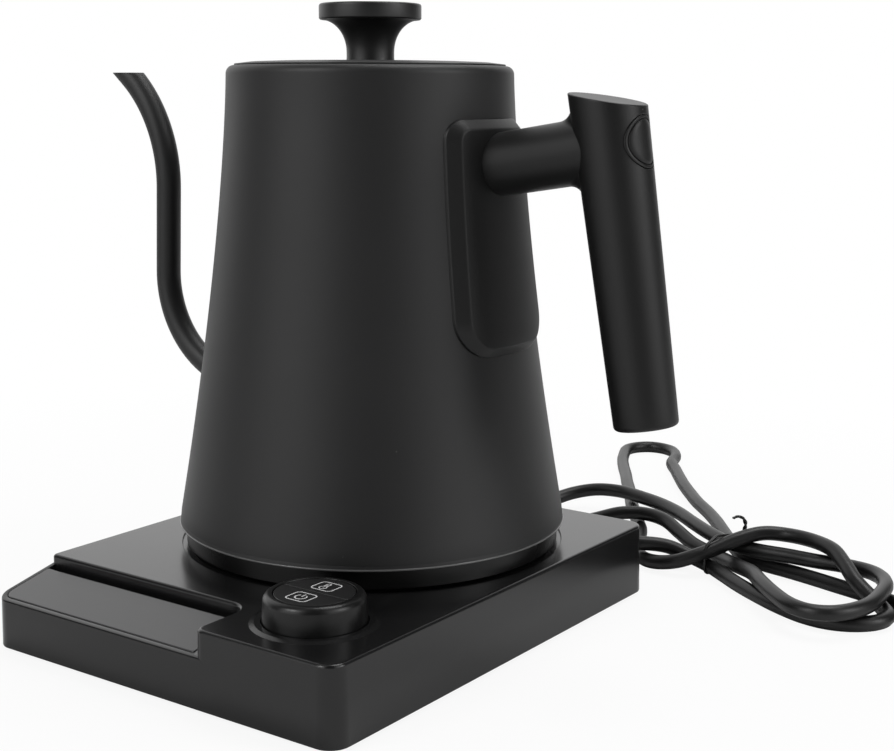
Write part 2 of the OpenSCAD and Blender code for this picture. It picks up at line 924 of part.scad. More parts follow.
// ---- Dial and buttons ----

module dial_ring() {
    z = dial_z;
    shoulder = 2.6;
    web_top = z + dial_web_t;
    side = [for (a = [0:15:90])
        [dial_r - 0.4 - shoulder + shoulder * cos(a), dial_top - shoulder + shoulder * sin(a)]];
    color("#242425") at_dial() rotate_extrude() polygon(concat(
        [[hub_in_r, board_top + 1.4], [hub_out_r, board_top + 1.4], [hub_out_r, z], [dial_r, z]],
        side,
        [[dial_cup_r, dial_top], [dial_cup_r, web_top], [hub_in_r, web_top]]
    ));
}

module dial_encoder() {
    color("#3d4043") at_dial() ring(hub_out_r + gap, hub_out_r + 4, board_top, board_top + 8);
}

module button_carrier() {
    color("#2d2e30") at_dial() difference() {
        union() {
            disc(carrier_r, board_top, carrier_top);
            disc(carrier_flange_r, carrier_top - carrier_t, carrier_top);
        }
        disc(carrier_r - 2, board_top - 1, carrier_top - carrier_t);
    }
}

module button_switches() {
    color("#55585c") at_dial() for (s = [-1, 1]) translate([0, s * switch_y, 0]) difference() {
        translate([-switch_side / 2, -switch_side / 2, carrier_top])
            cube([switch_side, switch_side, switch_h]);
        disc(plunger_r + gap, carrier_top + switch_floor, carrier_top + switch_h + 1);
    }
}

// One half of the split disc on the dial: s is -1 for the front half, 1 for the back half
module half_button(s) {
    stem_low = carrier_top + switch_floor + button_travel + gap;
    half = button_r + 1;
    at_dial() {
        intersection() {
            disc(button_r, button_top - button_t, button_top);
            translate([-half, s < 0 ? -half : button_split / 2, 0])
                cube([2 * half, half - button_split / 2, button_top + 1]);
        }
        translate([0, s * switch_y, 0]) disc(plunger_r, stem_low, button_top - button_t + eps);
    }
}

module power_button() { color("#303031") half_button(-1); }
module temperature_button() { color("#303031") half_button(1); }

// ---- Cord ----

module cord_gland() {
    y = base_d / 2;
    color("#161617") translate([gland_x, 0, gland_z]) rotate([-90, 0, 0]) {
        disc(gland_collar_r, y - base_wall - gland_collar_t, y - base_wall);
        disc(gland_neck_r, y - base_wall - 1, y + 1);
        disc(gland_collar_r, y, y + gland_collar_t);
        translate([0, 0, y + gland_collar_t])
            cylinder(r1 = gland_neck_r + 0.8, r2 = cord_r + relief_skin, h = relief_l - gland_collar_t);
    }
}

module lead(route) { color("#121213") swept_bar(curve(route, cord_steps), cord_r, cord_sides, [0, 0, 1]); }

module power_cord() { lead(cord_route); }
module plug_lead() { lead(plug_route); }

// The outer shape of the tied bundle: flat lobes that meet at the tie
module cord_hank() {
    neck = [tie_at[0], tie_at[1], hank_neck_r];
    color("#161617") translate([0, 0, hank_lift]) linear_extrude(hank_h - hank_lift) {
        for (lobe = hank_lobes) {
            circles = concat([neck], lobe);
            for (i = [1:len(lobe)]) hull() for (c = [circles[i - 1], circles[i]]) {
                translate([c[0], c[1]]) circle(c[2], $fn = 32);
            }
        }
    }
}

module cord_tie() {
    w = 2 * hank_neck_r;
    h = tie_h;
    color("#0e0e0f") translate([tie_at[0], tie_at[1], tie_t + h / 2]) rotate([0, 0, tie_turn])
        rotate([90, 0, 90]) linear_extrude(tie_w, center = true) difference() {
            round_rect(w + 2 * tie_t, h + 2 * tie_t, tie_r + tie_t);
            round_rect(w, h, tie_r);
        }
}

module plug_body() {
    color("#141415") translate(plug_at) rotate([-90, 0, 0]) {
        cylinder(r1 = cord_r + relief_skin, r2 = plug_neck_r, h = plug_neck_l);
        translate([0, 0, plug_neck_l]) linear_extrude(plug_l)
            round_rect(plug_w, plug_h, plug_corner_r);
    }
}

module plug_pins() {
    color("#b9a468") translate(plug_at) rotate([-90, 0, 0])
        translate([0, 0, plug_neck_l + plug_l]) {
            for (s = [-1, 1]) translate([s * blade_apart - blade_t / 2, blade_t / 2, 0])
                cube([blade_t, blade_w, blade_l]);
            translate([0, -earth_drop, 0]) cylinder(r = earth_r, h = earth_l);
        }
}

kettle_body();
spout();
kettle_floor();
heater_plate();
heating_element();
temperature_sensor();
thermal_cutout();
foot_ring();
kettle_bottom_cover();
bottom_cover_screws();
handle_bracket();
handle_pad();
handle();
handle_bolt();
grip_cap();
coupler_socket();
lid_plate();
lid_skirt();
lid_seal();
lid_knob();
lid_screw();
base_housing();
base_bottom_plate();
base_screws();
rubber_feet();
display_panel();
display_module();
control_board();
power_board();
power_parts();
base_coupler();
coupler_contacts();
dial_ring();
dial_encoder();
button_carrier();
button_switches();
power_button();
temperature_button();
cord_gland();
power_cord();
cord_hank();
plug_lead();
cord_tie();
plug_body();
plug_pins();
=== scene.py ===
import json
import math

import bmesh
import bpy
import numpy as np
from bpy.props import FloatProperty, FloatVectorProperty, PointerProperty
from mathutils import Matrix, Vector, geometry


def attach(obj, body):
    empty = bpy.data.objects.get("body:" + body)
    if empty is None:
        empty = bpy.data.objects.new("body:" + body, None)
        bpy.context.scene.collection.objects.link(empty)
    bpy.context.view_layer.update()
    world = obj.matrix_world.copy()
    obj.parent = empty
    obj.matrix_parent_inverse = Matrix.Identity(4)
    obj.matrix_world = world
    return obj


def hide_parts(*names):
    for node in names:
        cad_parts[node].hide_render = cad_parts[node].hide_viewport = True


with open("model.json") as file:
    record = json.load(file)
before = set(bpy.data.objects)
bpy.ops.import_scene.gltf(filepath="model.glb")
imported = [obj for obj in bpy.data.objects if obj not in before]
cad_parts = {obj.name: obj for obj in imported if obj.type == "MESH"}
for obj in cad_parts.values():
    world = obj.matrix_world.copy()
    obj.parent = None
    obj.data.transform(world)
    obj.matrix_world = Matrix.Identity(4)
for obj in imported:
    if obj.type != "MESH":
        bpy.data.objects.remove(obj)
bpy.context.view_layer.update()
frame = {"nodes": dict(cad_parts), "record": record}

bl_info = {
    "name": "Gooseneck Kettle",
    "version": (1, 0, 0),
    "blender": (4, 5, 0),
    "location": "3D View > Sidebar > Kettle",
    "description":
        "Visible pieces and finishes of an electric gooseneck kettle on its heating base",
    "category": "Object",
}

MM = 0.001
NODES = frame["nodes"]

# ---- Sizes shared by more than one piece, in millimetres ----

AXIS_Y = 22.5  # the kettle's axis behind the middle of the base
AXIS = (0, AXIS_Y)

BASE_X, BASE_Y, BASE_H = 83.0, 102.0, 29.5  # half width, half depth, height
BASE_LOW = 1.0  # lower edge of the housing
CORNER_R, DRAFT = 7.5, 0.6  # the sides lean in by the draft
SPLIT_Z = 18.2  # the block's wall ends here, and the deck's and shelf's walls go on
SPLIT_IN = DRAFT * (SPLIT_Z - BASE_LOW) / (BASE_H - BASE_LOW)
RECESS_X, RECESS_Y, RECESS_R = 21.3, -74.0, 7.5  # inner edges of the display recess
SHELF_FRONT_Z, SHELF_SLOPE = 19.4, math.tan(math.radians(12.7))
EASE = 0.3  # straight length kept flat beside each rounded corner

DIAL = (49.7, -71.7)
DIAL_TOP, BUTTON_TOP, BUTTON_LOW, BUTTON_R = 40.2, 40.0, 35.3, 14.0

FOOT_R, RIM_R, FLARE = 77.1, 55.2, 1.46
FOOT_Z, SHELL_Z, RIM_Z = 38.4, 39.7, 215.8
LID_TOP = 217.4

REACH, CROSS_Z = 107.6, 187.7  # where the arm's and grip's axes cross
LEAN = math.radians(9.3)
GRIP_TOP, GRIP_LOW = 16.7, -99.3  # heights along the grip's own axis
GRIP_R, GRIP_GROWTH = 11.6, 2.0  # radius at its low end, and how much more at its top
GRIP_LONG = GRIP_TOP - GRIP_LOW

CORD_D, CORD_LENGTH = 6.4, 1.50  # the length is in metres
CORD_REST = 3.4  # height of the cord's middle where it lies on the table
GLAND_X, GLAND_Z = -10.0, 12.0
TIE_X, TIE_Y, TIE_TURN = 98.0, 148.0, math.radians(-15)


# ---- Arrays of points ----

def xyz(*parts):
    """Points from two or three arrays of coordinates, which are spread to one shape."""
    return np.stack(np.broadcast_arrays(*parts), -1)


def whole_turn(n):
    """n angles evenly round a circle, in radians."""
    return np.linspace(0, 2 * np.pi, n, endpoint=False)


def circle(at, r, n):
    """Points (n, 2) evenly round a circle of radius r about a place."""
    a = whole_turn(n)
    return xyz(at[0] + r * np.cos(a), at[1] + r * np.sin(a))


def arc(cx, cy, r, a0, a1, n):
    """Points (n, 2) on a circle of radius r about (cx, cy), from angle a0 to a1 in degrees."""
    a = np.radians(np.linspace(a0, a1, n))
    return xyz(cx + r * np.cos(a), cy + r * np.sin(a))


def rounded(corners, closed=False, step=9.0, ease=0.0):
    """A polyline whose corners are replaced by arcs tangent to both sides. Each corner is
    (x, y, radius); the arc starts and ends at radius * tan(turn / 2) from the corner, with one
    point every `step` degrees. With ease, a point stands on the straight that far beyond each
    end of the arc, so that the straight stays flat."""
    out = []
    n = len(corners)
    for i, (x, y, r) in enumerate(corners):
        here = np.array([x, y], float)
        if r <= 0 or (not closed and i in (0, n - 1)):
            out.append(here[None])
            continue
        a = np.array(corners[i - 1][:2], float) - here
        b = np.array(corners[(i + 1) % n][:2], float) - here
        a /= np.linalg.norm(a)
        b /= np.linalg.norm(b)
        turn = math.pi - math.acos(np.clip(a @ b, -1, 1))
        back = r * math.tan(turn / 2)
        side = (a + b) / np.linalg.norm(a + b)
        centre = here + side * r / math.cos(turn / 2)
        start = here + a * back - centre
        sign = 1.0 if a[0] * b[1] - a[1] * b[0] < 0 else -1.0
        t = np.linspace(0, sign * turn, max(3, int(math.degrees(turn) / step) + 1))
        bend = xyz(centre[0] + start[0] * np.cos(t) - start[1] * np.sin(t),
                   centre[1] + start[0] * np.sin(t) + start[1] * np.cos(t))
        if ease:
            out += [(here + a * (back + ease))[None], bend, (here + b * (back + ease))[None]]
        else:
            out.append(bend)
    return np.concatenate(out)


def smooth_route(points, steps):
    """A curve through the points: each span is the cubic whose ends have the slope of their
    neighbours' chord."""
    p = np.asarray(points, float)
    q = np.concatenate([p[:1], p, p[-1:]])
    t = (np.arange(steps) / steps)[None, :, None]
    a, b, c, d = (q[i:len(q) - 3 + i][:, None] for i in range(4))
    spans = 0.5 * (2 * b + (c - a) * t + (2 * a - 5 * b + 4 * c - d) * t * t
                   + (3 * b - a - 3 * c + d) * t ** 3)
    return np.concatenate([spans.reshape(-1, p.shape[1]), p[-1:]])


def wall_r(z):
    """Radius of the kettle's wall: it falls from the foot to the rim as a power of the height
    left to the rim."""
    left = np.clip(1 - (np.asarray(z, float) - FOOT_Z) / (RIM_Z - FOOT_Z), 0, 1)
    return RIM_R + (FOOT_R - RIM_R) * left ** FLARE


def shelf_z(y):
    """Height of the sloped display shelf: it rises evenly with y from the base's front."""
    return SHELF_FRONT_Z + (y + BASE_Y) * SHELF_SLOPE


def edge_steps(r, low, top, flat=EASE, n=8, start=0.0, end=0.0):
    """Insets and heights up a wall from low to top, round a quarter circle of radius r, and on
    over the flat. The inset is start at the foot and end below the edge."""
    a = np.radians(np.linspace(0, 90, n))
    turn = list(zip(end + r * (1 - np.cos(a)), top - r + r * np.sin(a)))
    return [(start, low), (end, top - r - EASE), *turn, (end + r + flat, top)]


def drawn(outline, steps, ground=lambda y: 0 * y):
    """Rows of one outline drawn at several insets and heights: outline(inset) gives its points,
    and ground(y) is what the heights are measured from."""
    rows = [(outline(inset), height) for inset, height in steps]
    return np.stack([xyz(o[:, 0], o[:, 1], ground(o[:, 1]) + height) for o, height in rows])


# ---- Meshes from arrays ----

class Shell:
    """Vertices and faces gathered from several surfaces, in millimetres, and made one mesh at
    the end. New faces take the material whose number is `mark`."""

    def __init__(self):
        self.points, self.faces, self.marks, self.count, self.mark = [], [], [], 0, 0

    def add(self, points, faces):
        """Points in any grid, and faces (n, corners) that count from the first of them."""
        points = np.asarray(points, float).reshape(-1, 3)
        self.points.append(points)
        self.faces.append(faces + self.count)
        self.marks.append(np.full(len(faces), self.mark))
        self.count += len(points)

    def grid(self, rows, wrap=True, wrap_rows=False, flip=False):
        """A surface from rows (m, n, 3). Neighbours in a row and in the next row make four-sided
        faces; wrap joins each row's end to its start."""
        m, n = rows.shape[:2]
        i = np.arange(m if wrap_rows else m - 1)[:, None]
        j = np.arange(n if wrap else n - 1)[None, :]
        k, l = (i + 1) % m, (j + 1) % n
        quads = np.stack([i * n + j, i * n + l, k * n + l, k * n + j], -1).reshape(-1, 4)
        self.add(rows, quads[:, ::-1] if flip else quads)

    def turned(self, profile, at, n=144, closed=False):
        """A profile of (radius, height) turned about an upright axis at (x, y)."""
        p = np.asarray(profile, float)
        a = whole_turn(n)
        r = p[:, :1]
        self.grid(xyz(at[0] + r * np.cos(a), at[1] + r * np.sin(a), p[:, 1:]), wrap_rows=closed)

    def tube(self, path, radius, aside, n, ends=True):
        """A round bar carried along a path: at each point a circle across the path's direction,
        drawn from the unit vector square to that and to `aside`. Flat ends close it."""
        along = np.gradient(path, axis=0)
        along /= np.linalg.norm(along, axis=1, keepdims=True)
        side = np.cross(along, aside)
        side /= np.linalg.norm(side, axis=1, keepdims=True)
        up = np.cross(side, along)
        a = whole_turn(n)[None, :, None]
        rows = path[:, None] + radius * (np.cos(a) * side[:, None] + np.sin(a) * up[:, None])
        if ends:
            first, last = (np.repeat(end, n, 0)[None] for end in (path[:1], path[-1:]))
            rows = np.concatenate([first, rows, last])
        self.grid(rows)

    def fill(self, loops, z, flip=False):
        """The flat or sloped area between loops (n, 2): its triangles join the loops' own points.
        z is one height or a function of y. The first loop is the outside and the others are
        holes: a triangle stays when a line from its middle crosses the loops an odd number of
        times."""
        flat = np.concatenate(loops)
        edges, start = [], 0
        for loop in loops:
            k = np.arange(len(loop))
            edges.append(start + np.column_stack([k, (k + 1) % len(loop)]))
            start += len(loop)
        edges = np.concatenate(edges)
        verts, _, faces, _, _, _ = geometry.delaunay_2d_cdt(
            [Vector(p) for p in flat.tolist()], edges.tolist(), [], 2, 1e-5)
        xy = np.array([tuple(v) for v in verts])
        tris = np.array(faces, int)
        a, b = flat[edges].transpose(1, 0, 2)
        x, y = (xy[tris].mean(1)[:, None, k] for k in (0, 1))
        rise = np.where(b[:, 1] == a[:, 1], 1, b[:, 1] - a[:, 1])
        meets = a[:, 0] + (y - a[:, 1]) * (b[:, 0] - a[:, 0]) / rise
        crossed = ((a[:, 1] > y) != (b[:, 1] > y)) & (x < meets)
        tris = tris[crossed.sum(1) % 2 == 1]
        u, v = xy[tris[:, 1]] - xy[tris[:, 0]], xy[tris[:, 2]] - xy[tris[:, 0]]
        area = u[:, 0] * v[:, 1] - v[:, 0] * u[:, 1]
        tris[area < 0] = tris[area < 0][:, ::-1]
        height = z(xy[:, 1]) if callable(z) else z
        self.add(xyz(xy[:, 0], xy[:, 1], height), tris[:, ::-1] if flip else tris)

    def build(self, name, slot, body, *replaced, sharp=32.0, materials=()):
        """The finished piece, with its points joined where surfaces meet. Edges that turn more
        than `sharp` degrees are drawn sharp."""
        mesh = bpy.data.meshes.new(name)
        sizes = np.concatenate([np.full(len(f), f.shape[1]) for f in self.faces])
        corners = np.concatenate([f.reshape(-1) for f in self.faces])
        starts = np.concatenate([[0], np.cumsum(sizes)[:-1]])
        mesh.vertices.add(self.count)
        mesh.vertices.foreach_set("co", (np.concatenate(self.points) * MM).reshape(-1))
        mesh.loops.add(len(corners))
        mesh.loops.foreach_set("vertex_index", corners.astype(np.int32))
        mesh.polygons.add(len(sizes))
        mesh.polygons.foreach_set("loop_start", starts.astype(np.int32))
        marks = np.concatenate(self.marks)
        mesh.polygons.foreach_set("material_index", marks.astype(np.int32))
        mesh.update(calc_edges=True)
        bm = bmesh.new()
        bm.from_mesh(mesh)
        bmesh.ops.remove_doubles(bm, verts=bm.verts, dist=1e-6)
        bmesh.ops.dissolve_degenerate(bm, dist=1e-7, edges=bm.edges)
        bm.to_mesh(mesh)
        bm.free()
        mesh.validate()
        mesh.shade_smooth()
        mesh.set_sharp_from_angle(angle=math.radians(sharp))
        for material in materials or [finish_of(slot)]:
            mesh.materials.append(material)
        return put(bpy.data.objects.new(name, mesh), slot, body, *replaced)


def put(piece, slot, body, *replaced):
    """Puts a piece in the scene under its body and hides the CAD nodes it stands for. The slot is
    not used.
    """
    bpy.context.scene.collection.objects.link(piece)
    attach(piece, body)
    if replaced:
        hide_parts(*replaced)
    return piece


# ---- Finishes ----

def feed(tree, place, value):
    """Links an input to a socket, or sets it to a plain value."""
    if isinstance(value, bpy.types.NodeSocket):
        tree.links.new(value, place)
    else:
        place.default_value = value


def node(tree, kind, inputs=None, **properties):
    """A node with its properties set and its inputs fed: inputs pairs an input's name or number
    with a socket or a value."""
    made = tree.nodes.new(kind)
    for key, value in properties.items():
        setattr(made, key, value)
    for key, value in (inputs or {}).items():
        feed(tree, made.inputs[key], value)
    return made


def maths(tree, operation, a, b, **properties):
    """The result of a Math node on two sockets or numbers."""
    inputs = {0: a, 1: b}
    return node(tree, "ShaderNodeMath", inputs, operation=operation, **properties).outputs[0]


def object_point(tree):
    """The place on the piece, in metres."""
    return tree.nodes.new("ShaderNodeTexCoord").outputs["Object"]


def new_group(name, inputs, outputs):
    """A shader node group with float inputs (name: default) and float outputs, with the sockets
    that bring its inputs in and the places that take its outputs."""
    group = bpy.data.node_groups.new(name, "ShaderNodeTree")
    for label, default in inputs.items():
        socket = group.interface.new_socket(
            name=label, in_out="INPUT", socket_type="NodeSocketFloat")
        socket.default_value = default
    for label in outputs:
        group.interface.new_socket(name=label, in_out="OUTPUT", socket_type="NodeSocketFloat")
    given = group.nodes.new("NodeGroupInput").outputs
    return group, given, group.nodes.new("NodeGroupOutput").inputs


def grain_group():
    """Fine moulded or sprayed grain: a small noise for height, and a broad soft noise for tone,
    both from 0 to 1."""
    inputs = {"Scale": 1500.0, "Blotch scale": 22.0}
    group, given, taken = new_group("Fine grain", inputs, ["Height", "Tone"])
    where = object_point(group)
    fine = {"Vector": where, "Scale": given["Scale"], "Detail": 3.0, "Roughness": 0.6}
    broad = {"Vector": where, "Scale": given["Blotch scale"], "Detail": 4.0}
    for label, values in (("Height", fine), ("Tone", broad)):
        noise = node(group, "ShaderNodeTexNoise", values)
        feed(group, taken[label], noise.outputs["Fac"])
    return group


def dust_group():
    """A few specks of dust: cells of a Voronoi pattern, kept where a cell's own random number is
    above 1 - Share, and drawn as dots of Size around the cell's point."""
    inputs = {"Scale": 260.0, "Share": 0.06, "Size": 0.05}
    group, given, taken = new_group("Dust specks", inputs, ["Mask"])
    place = {"Vector": object_point(group), "Scale": given["Scale"]}
    cells = node(group, "ShaderNodeTexVoronoi", place).outputs
    near = maths(group, "LESS_THAN", cells["Distance"], given["Size"])
    lot = node(group, "ShaderNodeSeparateColor", {"Color": cells["Color"]}).outputs[0]
    limit = maths(group, "SUBTRACT", 1.0, given["Share"])
    kept = maths(group, "GREATER_THAN", lot, limit)
    feed(group, taken["Mask"], maths(group, "MULTIPLY", near, kept))
    return group


def edge_highlight_group():
    """Painted highlight on edges: how far a surface stands out from its surroundings, broken up
    by noise, from 0 to 1. Sharp edges are lightened by it in place of the highlights they catch."""
    group, given, taken = new_group("Edge highlight paint", {"Start": 0.53, "Amount": 0.5}, ["Mask"])
    point = group.nodes.new("ShaderNodeNewGeometry").outputs["Pointiness"]
    values = {"Vector": object_point(group), "Scale": 260.0, "Detail": 2.0}
    noise = node(group, "ShaderNodeTexNoise", values).outputs["Fac"]
    above = maths(group, "SUBTRACT", point, given["Start"])
    steep = maths(group, "MULTIPLY", above, 14.0, use_clamp=True)
    broken = maths(group, "MULTIPLY", steep, noise)
    feed(group, taken["Mask"], maths(group, "MULTIPLY", broken, given["Amount"]))
    return group


GROUPS, FINISHES = {}, {}
GROUP_MAKERS = {"Fine grain": grain_group, "Dust specks": dust_group, "Edge highlight paint": edge_highlight_group}


def placed(tree, name, **values):
    """The outputs of a shared node group, placed in a material with its own values."""
    if name not in GROUPS:
        GROUPS[name] = GROUP_MAKERS[name]()
    return node(tree, "ShaderNodeGroup", values, node_tree=GROUPS[name]).outputs


def mixed(tree, factor, a, b):
    """Colour a where factor is 0 and colour b where it is 1."""
    mix = node(tree, "ShaderNodeMix", data_type="RGBA")
    feed(tree, mix.inputs["Factor"], factor)
    for place, value in ((mix.inputs[6], a), (mix.inputs[7], b)):
        feed(tree, place, value if isinstance(value, bpy.types.NodeSocket) else (*value, 1.0))
    return mix.outputs[2]


DUST_COLOUR = (0.16, 0.16, 0.155)


def finish(name, colour, rough, grain=1500.0, bump=0.02, tone=0.08, rough_tone=0.06, metal=0.0,
           dust=0.0, edge_highlight=0.0, specular=0.5):
    """A Principled material: its colour and roughness drift softly by `tone` and `rough_tone`,
    fine grain gives its bump, dust specks lighten it where their mask says, and its sharp edges
    are lightened as a painted highlight."""
    if name in FINISHES:
        return FINISHES[name]
    material = FINISHES[name] = bpy.data.materials.new(f"{name}_finish")
    material.use_nodes = True
    tree = material.node_tree
    inputs = tree.nodes["Principled BSDF"].inputs
    inputs["Metallic"].default_value = metal
    inputs["Specular IOR Level"].default_value = specular
    fine = placed(tree, "Fine grain", Scale=grain)
    dark = [c * (1 - tone) for c in colour]
    light = [min(1.0, c * (1 + tone)) for c in colour]
    out = mixed(tree, fine["Tone"], dark, light)
    # Painted highlight: sharp edges are lightened towards a grey in place of the highlights they
    # catch.
    if edge_highlight > 0:
        highlit = [min(1.0, 2.2 * c + 0.02) for c in colour]
        out = mixed(tree, placed(tree, "Edge highlight paint", Amount=edge_highlight)["Mask"], out, highlit)
    if dust > 0:
        out = mixed(tree, placed(tree, "Dust specks", Share=dust)["Mask"], out, DUST_COLOUR)
    feed(tree, inputs["Base Color"], out)
    drift = node(tree, "ShaderNodeMapRange", {
        "Value": fine["Tone"], "To Min": rough - rough_tone, "To Max": rough + rough_tone})
    feed(tree, inputs["Roughness"], drift.outputs[0])
    relief = node(tree, "ShaderNodeBump", {
        "Height": fine["Height"], "Strength": bump, "Distance": 0.0002})
    feed(tree, inputs["Normal"], relief.outputs["Normal"])
    return material


def finish_of(slot):
    """The material of a slot of the record: its colour, its roughness and its detail. The main
    colours come from the panel's settings."""
    c = bpy.context.scene.kettle_colours
    table = {
        "black_coating": (c.coating, 0.48, dict(
            grain=1900, bump=0.10, dust=0.006, tone=0.05, specular=0.4)),
        "bare_steel": ((0.45, 0.46, 0.47), 0.3, dict(metal=1.0, grain=700, bump=0.05)),
        "heater_aluminium": ((0.6, 0.6, 0.61), 0.42, dict(metal=1.0, grain=500, bump=0.12)),
        "ceramic": ((0.65, 0.62, 0.54), 0.5, dict(grain=900)),
        "foot_plastic": ((0.003, 0.003, 0.003), 0.28, dict(grain=1600, bump=0.03, specular=0.3)),
        "handle_plastic": (c.handle, 0.44, dict(
            grain=1700, bump=0.12, dust=0.03, tone=0.06, specular=0.34)),
        "knob_plastic": ((0.008, 0.008, 0.008), 0.42, dict(grain=1700, bump=0.08, dust=0.006)),
        "silicone": ((0.05, 0.05, 0.052), 0.6, dict(grain=600)),
        "coupler_plastic": ((0.03, 0.031, 0.033), 0.45, dict(grain=900)),
        # The base's sharp edges get a painted highlight.
        "base_plastic": (c.base, 0.22, dict(
            grain=1500, bump=0.05, dust=0.004, edge_highlight=0.15, rough_tone=0.03, specular=0.42)),
        "underside_plastic": ((0.012, 0.012, 0.012), 0.6, dict(grain=450, bump=0.3)),
        "foot_rubber": ((0.01, 0.01, 0.01), 0.75, dict(grain=800, bump=0.2)),
        "panel_gloss": (c.panel, 0.24, dict(grain=2600, tone=0.03, rough_tone=0.03, dust=0.004)),
        "display_glass": ((0.01, 0.01, 0.011), 0.1, {}),
        "circuit_board": ((0.013, 0.1, 0.042), 0.4, dict(grain=300, bump=0.2)),
        "component_blue": ((0.02, 0.054, 0.11), 0.4, {}),
        "contact_brass": ((0.62, 0.45, 0.2), 0.28, dict(metal=1.0, grain=700)),
        # The dial's sharp edges get a painted highlight.
        "dial_plastic": ((0.006, 0.006, 0.006), 0.3, dict(
            grain=1900, bump=0.06, dust=0.004, edge_highlight=0.1, specular=0.35)),
        "button_plastic": ((0.012, 0.012, 0.012), 0.4, dict(grain=2200, bump=0.05)),
        "cord_sheath": (c.cord, 0.4, dict(
            grain=1400, bump=0.1, tone=0.15, rough_tone=0.08, specular=0.4)),
        "tie_plastic": ((0.006, 0.006, 0.006), 0.4, {}),
    }
    colour, rough, detail = table[slot]
    return finish(slot, colour, rough, **detail)


# ---- Cord ----

# Points of (x, y) lie on the table.
CORD_ROUTE = [
    # out of the base and round to the tie
    (-10, 128, 12), (-10, 142, 11), (-12, 157, 7), (-15, 171, 4.5), (-15, 184, 5),
    (-9, 195, 7.5), (1, 202, 9.5), (14, 204, 10), (28, 200, 10), (42, 194, 10), (56, 185, 10),
    (69, 174, 10), (83, 163, 10), (97, 154, 10.2),
    # the outer lobe, and back under the tie
    (111, 152, 10.1), (124, 153, 10), (137, 153, 10), (149, 154, 10), (160, 152, 10.2),
    (168, 146, 10.5), (173.5, 136, 10.6), (175.5, 123.5, 10.3), (175.8, 111.5, 10),
    (173, 101, 10), (167.5, 93.5, 10), (159.5, 90.5, 10), (150.5, 93.5, 10), (140.5, 102, 10),
    (130, 113, 9.9), (120.3, 125.3, 8.9), (109, 137, 6.4), (98.2, 147.3, 4.4),
    # the lobe behind the base
    (87, 154, 4.3), (76, 159.5, 5), (65, 166.5, 7.2), (54, 173, 9.5), (42, 175, 10),
    (32, 171, 9.5), (22, 164, 6.5), (12, 155.5, 4), (5, 145.5), (3, 134), (7, 123), (17, 115),
    (29, 113, 4.5), (41, 117.5, 7), (52, 124, 9.2), (63, 130.5, 10.2), (74, 137, 9.2),
    (84, 139.5, 6), (94, 138, 4),
    # the low fold and the arch over it
    (104, 131.5, 3.5), (115.5, 122.8), (128, 114.5), (140, 107.5), (152, 102.5), (163, 101.5),
    (172.5, 105), (179.3, 112.5), (180, 121.5, 3.5), (175, 129, 3.8), (167.5, 134, 6.2),
    (160, 138, 10), (152.5, 145, 13.8), (144.5, 152, 16.6), (133, 158, 17.1),
    (120.5, 159.5, 17.1), (111, 155, 17.2), (102.8, 147, 14.8), (96, 139, 11.2),
    # the long lobe behind the kettle
    (90.5, 133.5, 8.8), (83.5, 129.5, 6), (75.5, 128.5, 4.2), (68, 130.5), (61.5, 135.5),
    (56.5, 143.5), (50.5, 155), (44, 169), (36, 181), (28, 193), (19, 206), (11, 219), (3, 232),
    (-5.5, 245), (-13.5, 258), (-22, 271), (-30.5, 285), (-36.5, 297), (-41, 308), (-40, 317),
    (-34, 323.5), (-25, 324), (-17, 319.5), (-10.5, 309.5), (-5.5, 295.5), (3, 283.5),
    (12, 270.5), (22, 256.5), (32.5, 243), (43.5, 229.5), (56, 216), (66, 204), (75, 192),
    (84, 180), (93, 168.5, 3.5), (102, 159, 3.5),
    # under the outer lobe to the plug
    (113, 155), (125, 152.5), (137, 149.5), (149, 146), (160, 143), (172, 140), (184, 137),
    (197, 133, 4), (210, 133, 6), (222, 139, 8.5), (230, 151, 11), (232, 166, 12),
]


def make_cord():
    """The mains cord: one smooth curve through its route, each point's handles a sixth of its
    neighbours' chord."""
    p = np.array([(*point, CORD_REST)[:3] for point in CORD_ROUTE], float) * MM
    chord = np.gradient(p, axis=0) / 3
    curve = bpy.data.curves.new("mains_cord", "CURVE")
    curve.dimensions = "3D"
    curve.bevel_depth = CORD_D / 2 * MM
    curve.bevel_resolution = 5
    curve.use_fill_caps = True
    curve.resolution_u = 8
    points = curve.splines.new("BEZIER").bezier_points
    points.add(len(p) - 1)
    for key in ("handle_left_type", "handle_right_type"):
        points.foreach_set(key, np.zeros(len(p), np.int32))
    for key, place in (("co", p), ("handle_left", p - chord), ("handle_right", p + chord)):
        points.foreach_set(key, place.reshape(-1))
    curve.materials.append(finish_of("cord_sheath"))
    cord = bpy.data.objects.new("mains_cord", curve)
    return put(cord, "cord_sheath", "base", "power_cord", "cord_hank", "plug_lead")


def make_gland():
    """The strain relief: a collar on the base, then a taper whose radius dips in rounded grooves,
    each where a sine wave along it is high."""
    shell = Shell()
    y0, y1, wide, narrow = 104.4, 128.0, 5.8, 4.1
    pitch, deep = 3.9, 0.75
    y = np.linspace(y0, y1, 90)
    taper = wide - (wide - narrow) * (y - y0) / (y1 - y0)
    wave = np.clip(np.sin((y - 106) / pitch * 2 * np.pi) - 0.25, 0, 1) * (y > 106) * (y < 125.5)
    profile = np.concatenate([
        rounded([(4.9, 99, 0), (7.5, 101, 0), (7.5, 104, 0.6), (wide, 104.2, 0.1)]),
        xyz(taper - deep * wave, y), [[narrow, y1], [3.1, y1 + 0.2]]
    ])
    a = whole_turn(48)
    r, along = profile[:, :1], profile[:, 1:]
    shell.grid(xyz(GLAND_X + r * np.cos(a), along, GLAND_Z + r * np.sin(a)), flip=True)
    return shell.build("strain_relief", "cord_sheath", "base", "cord_gland")


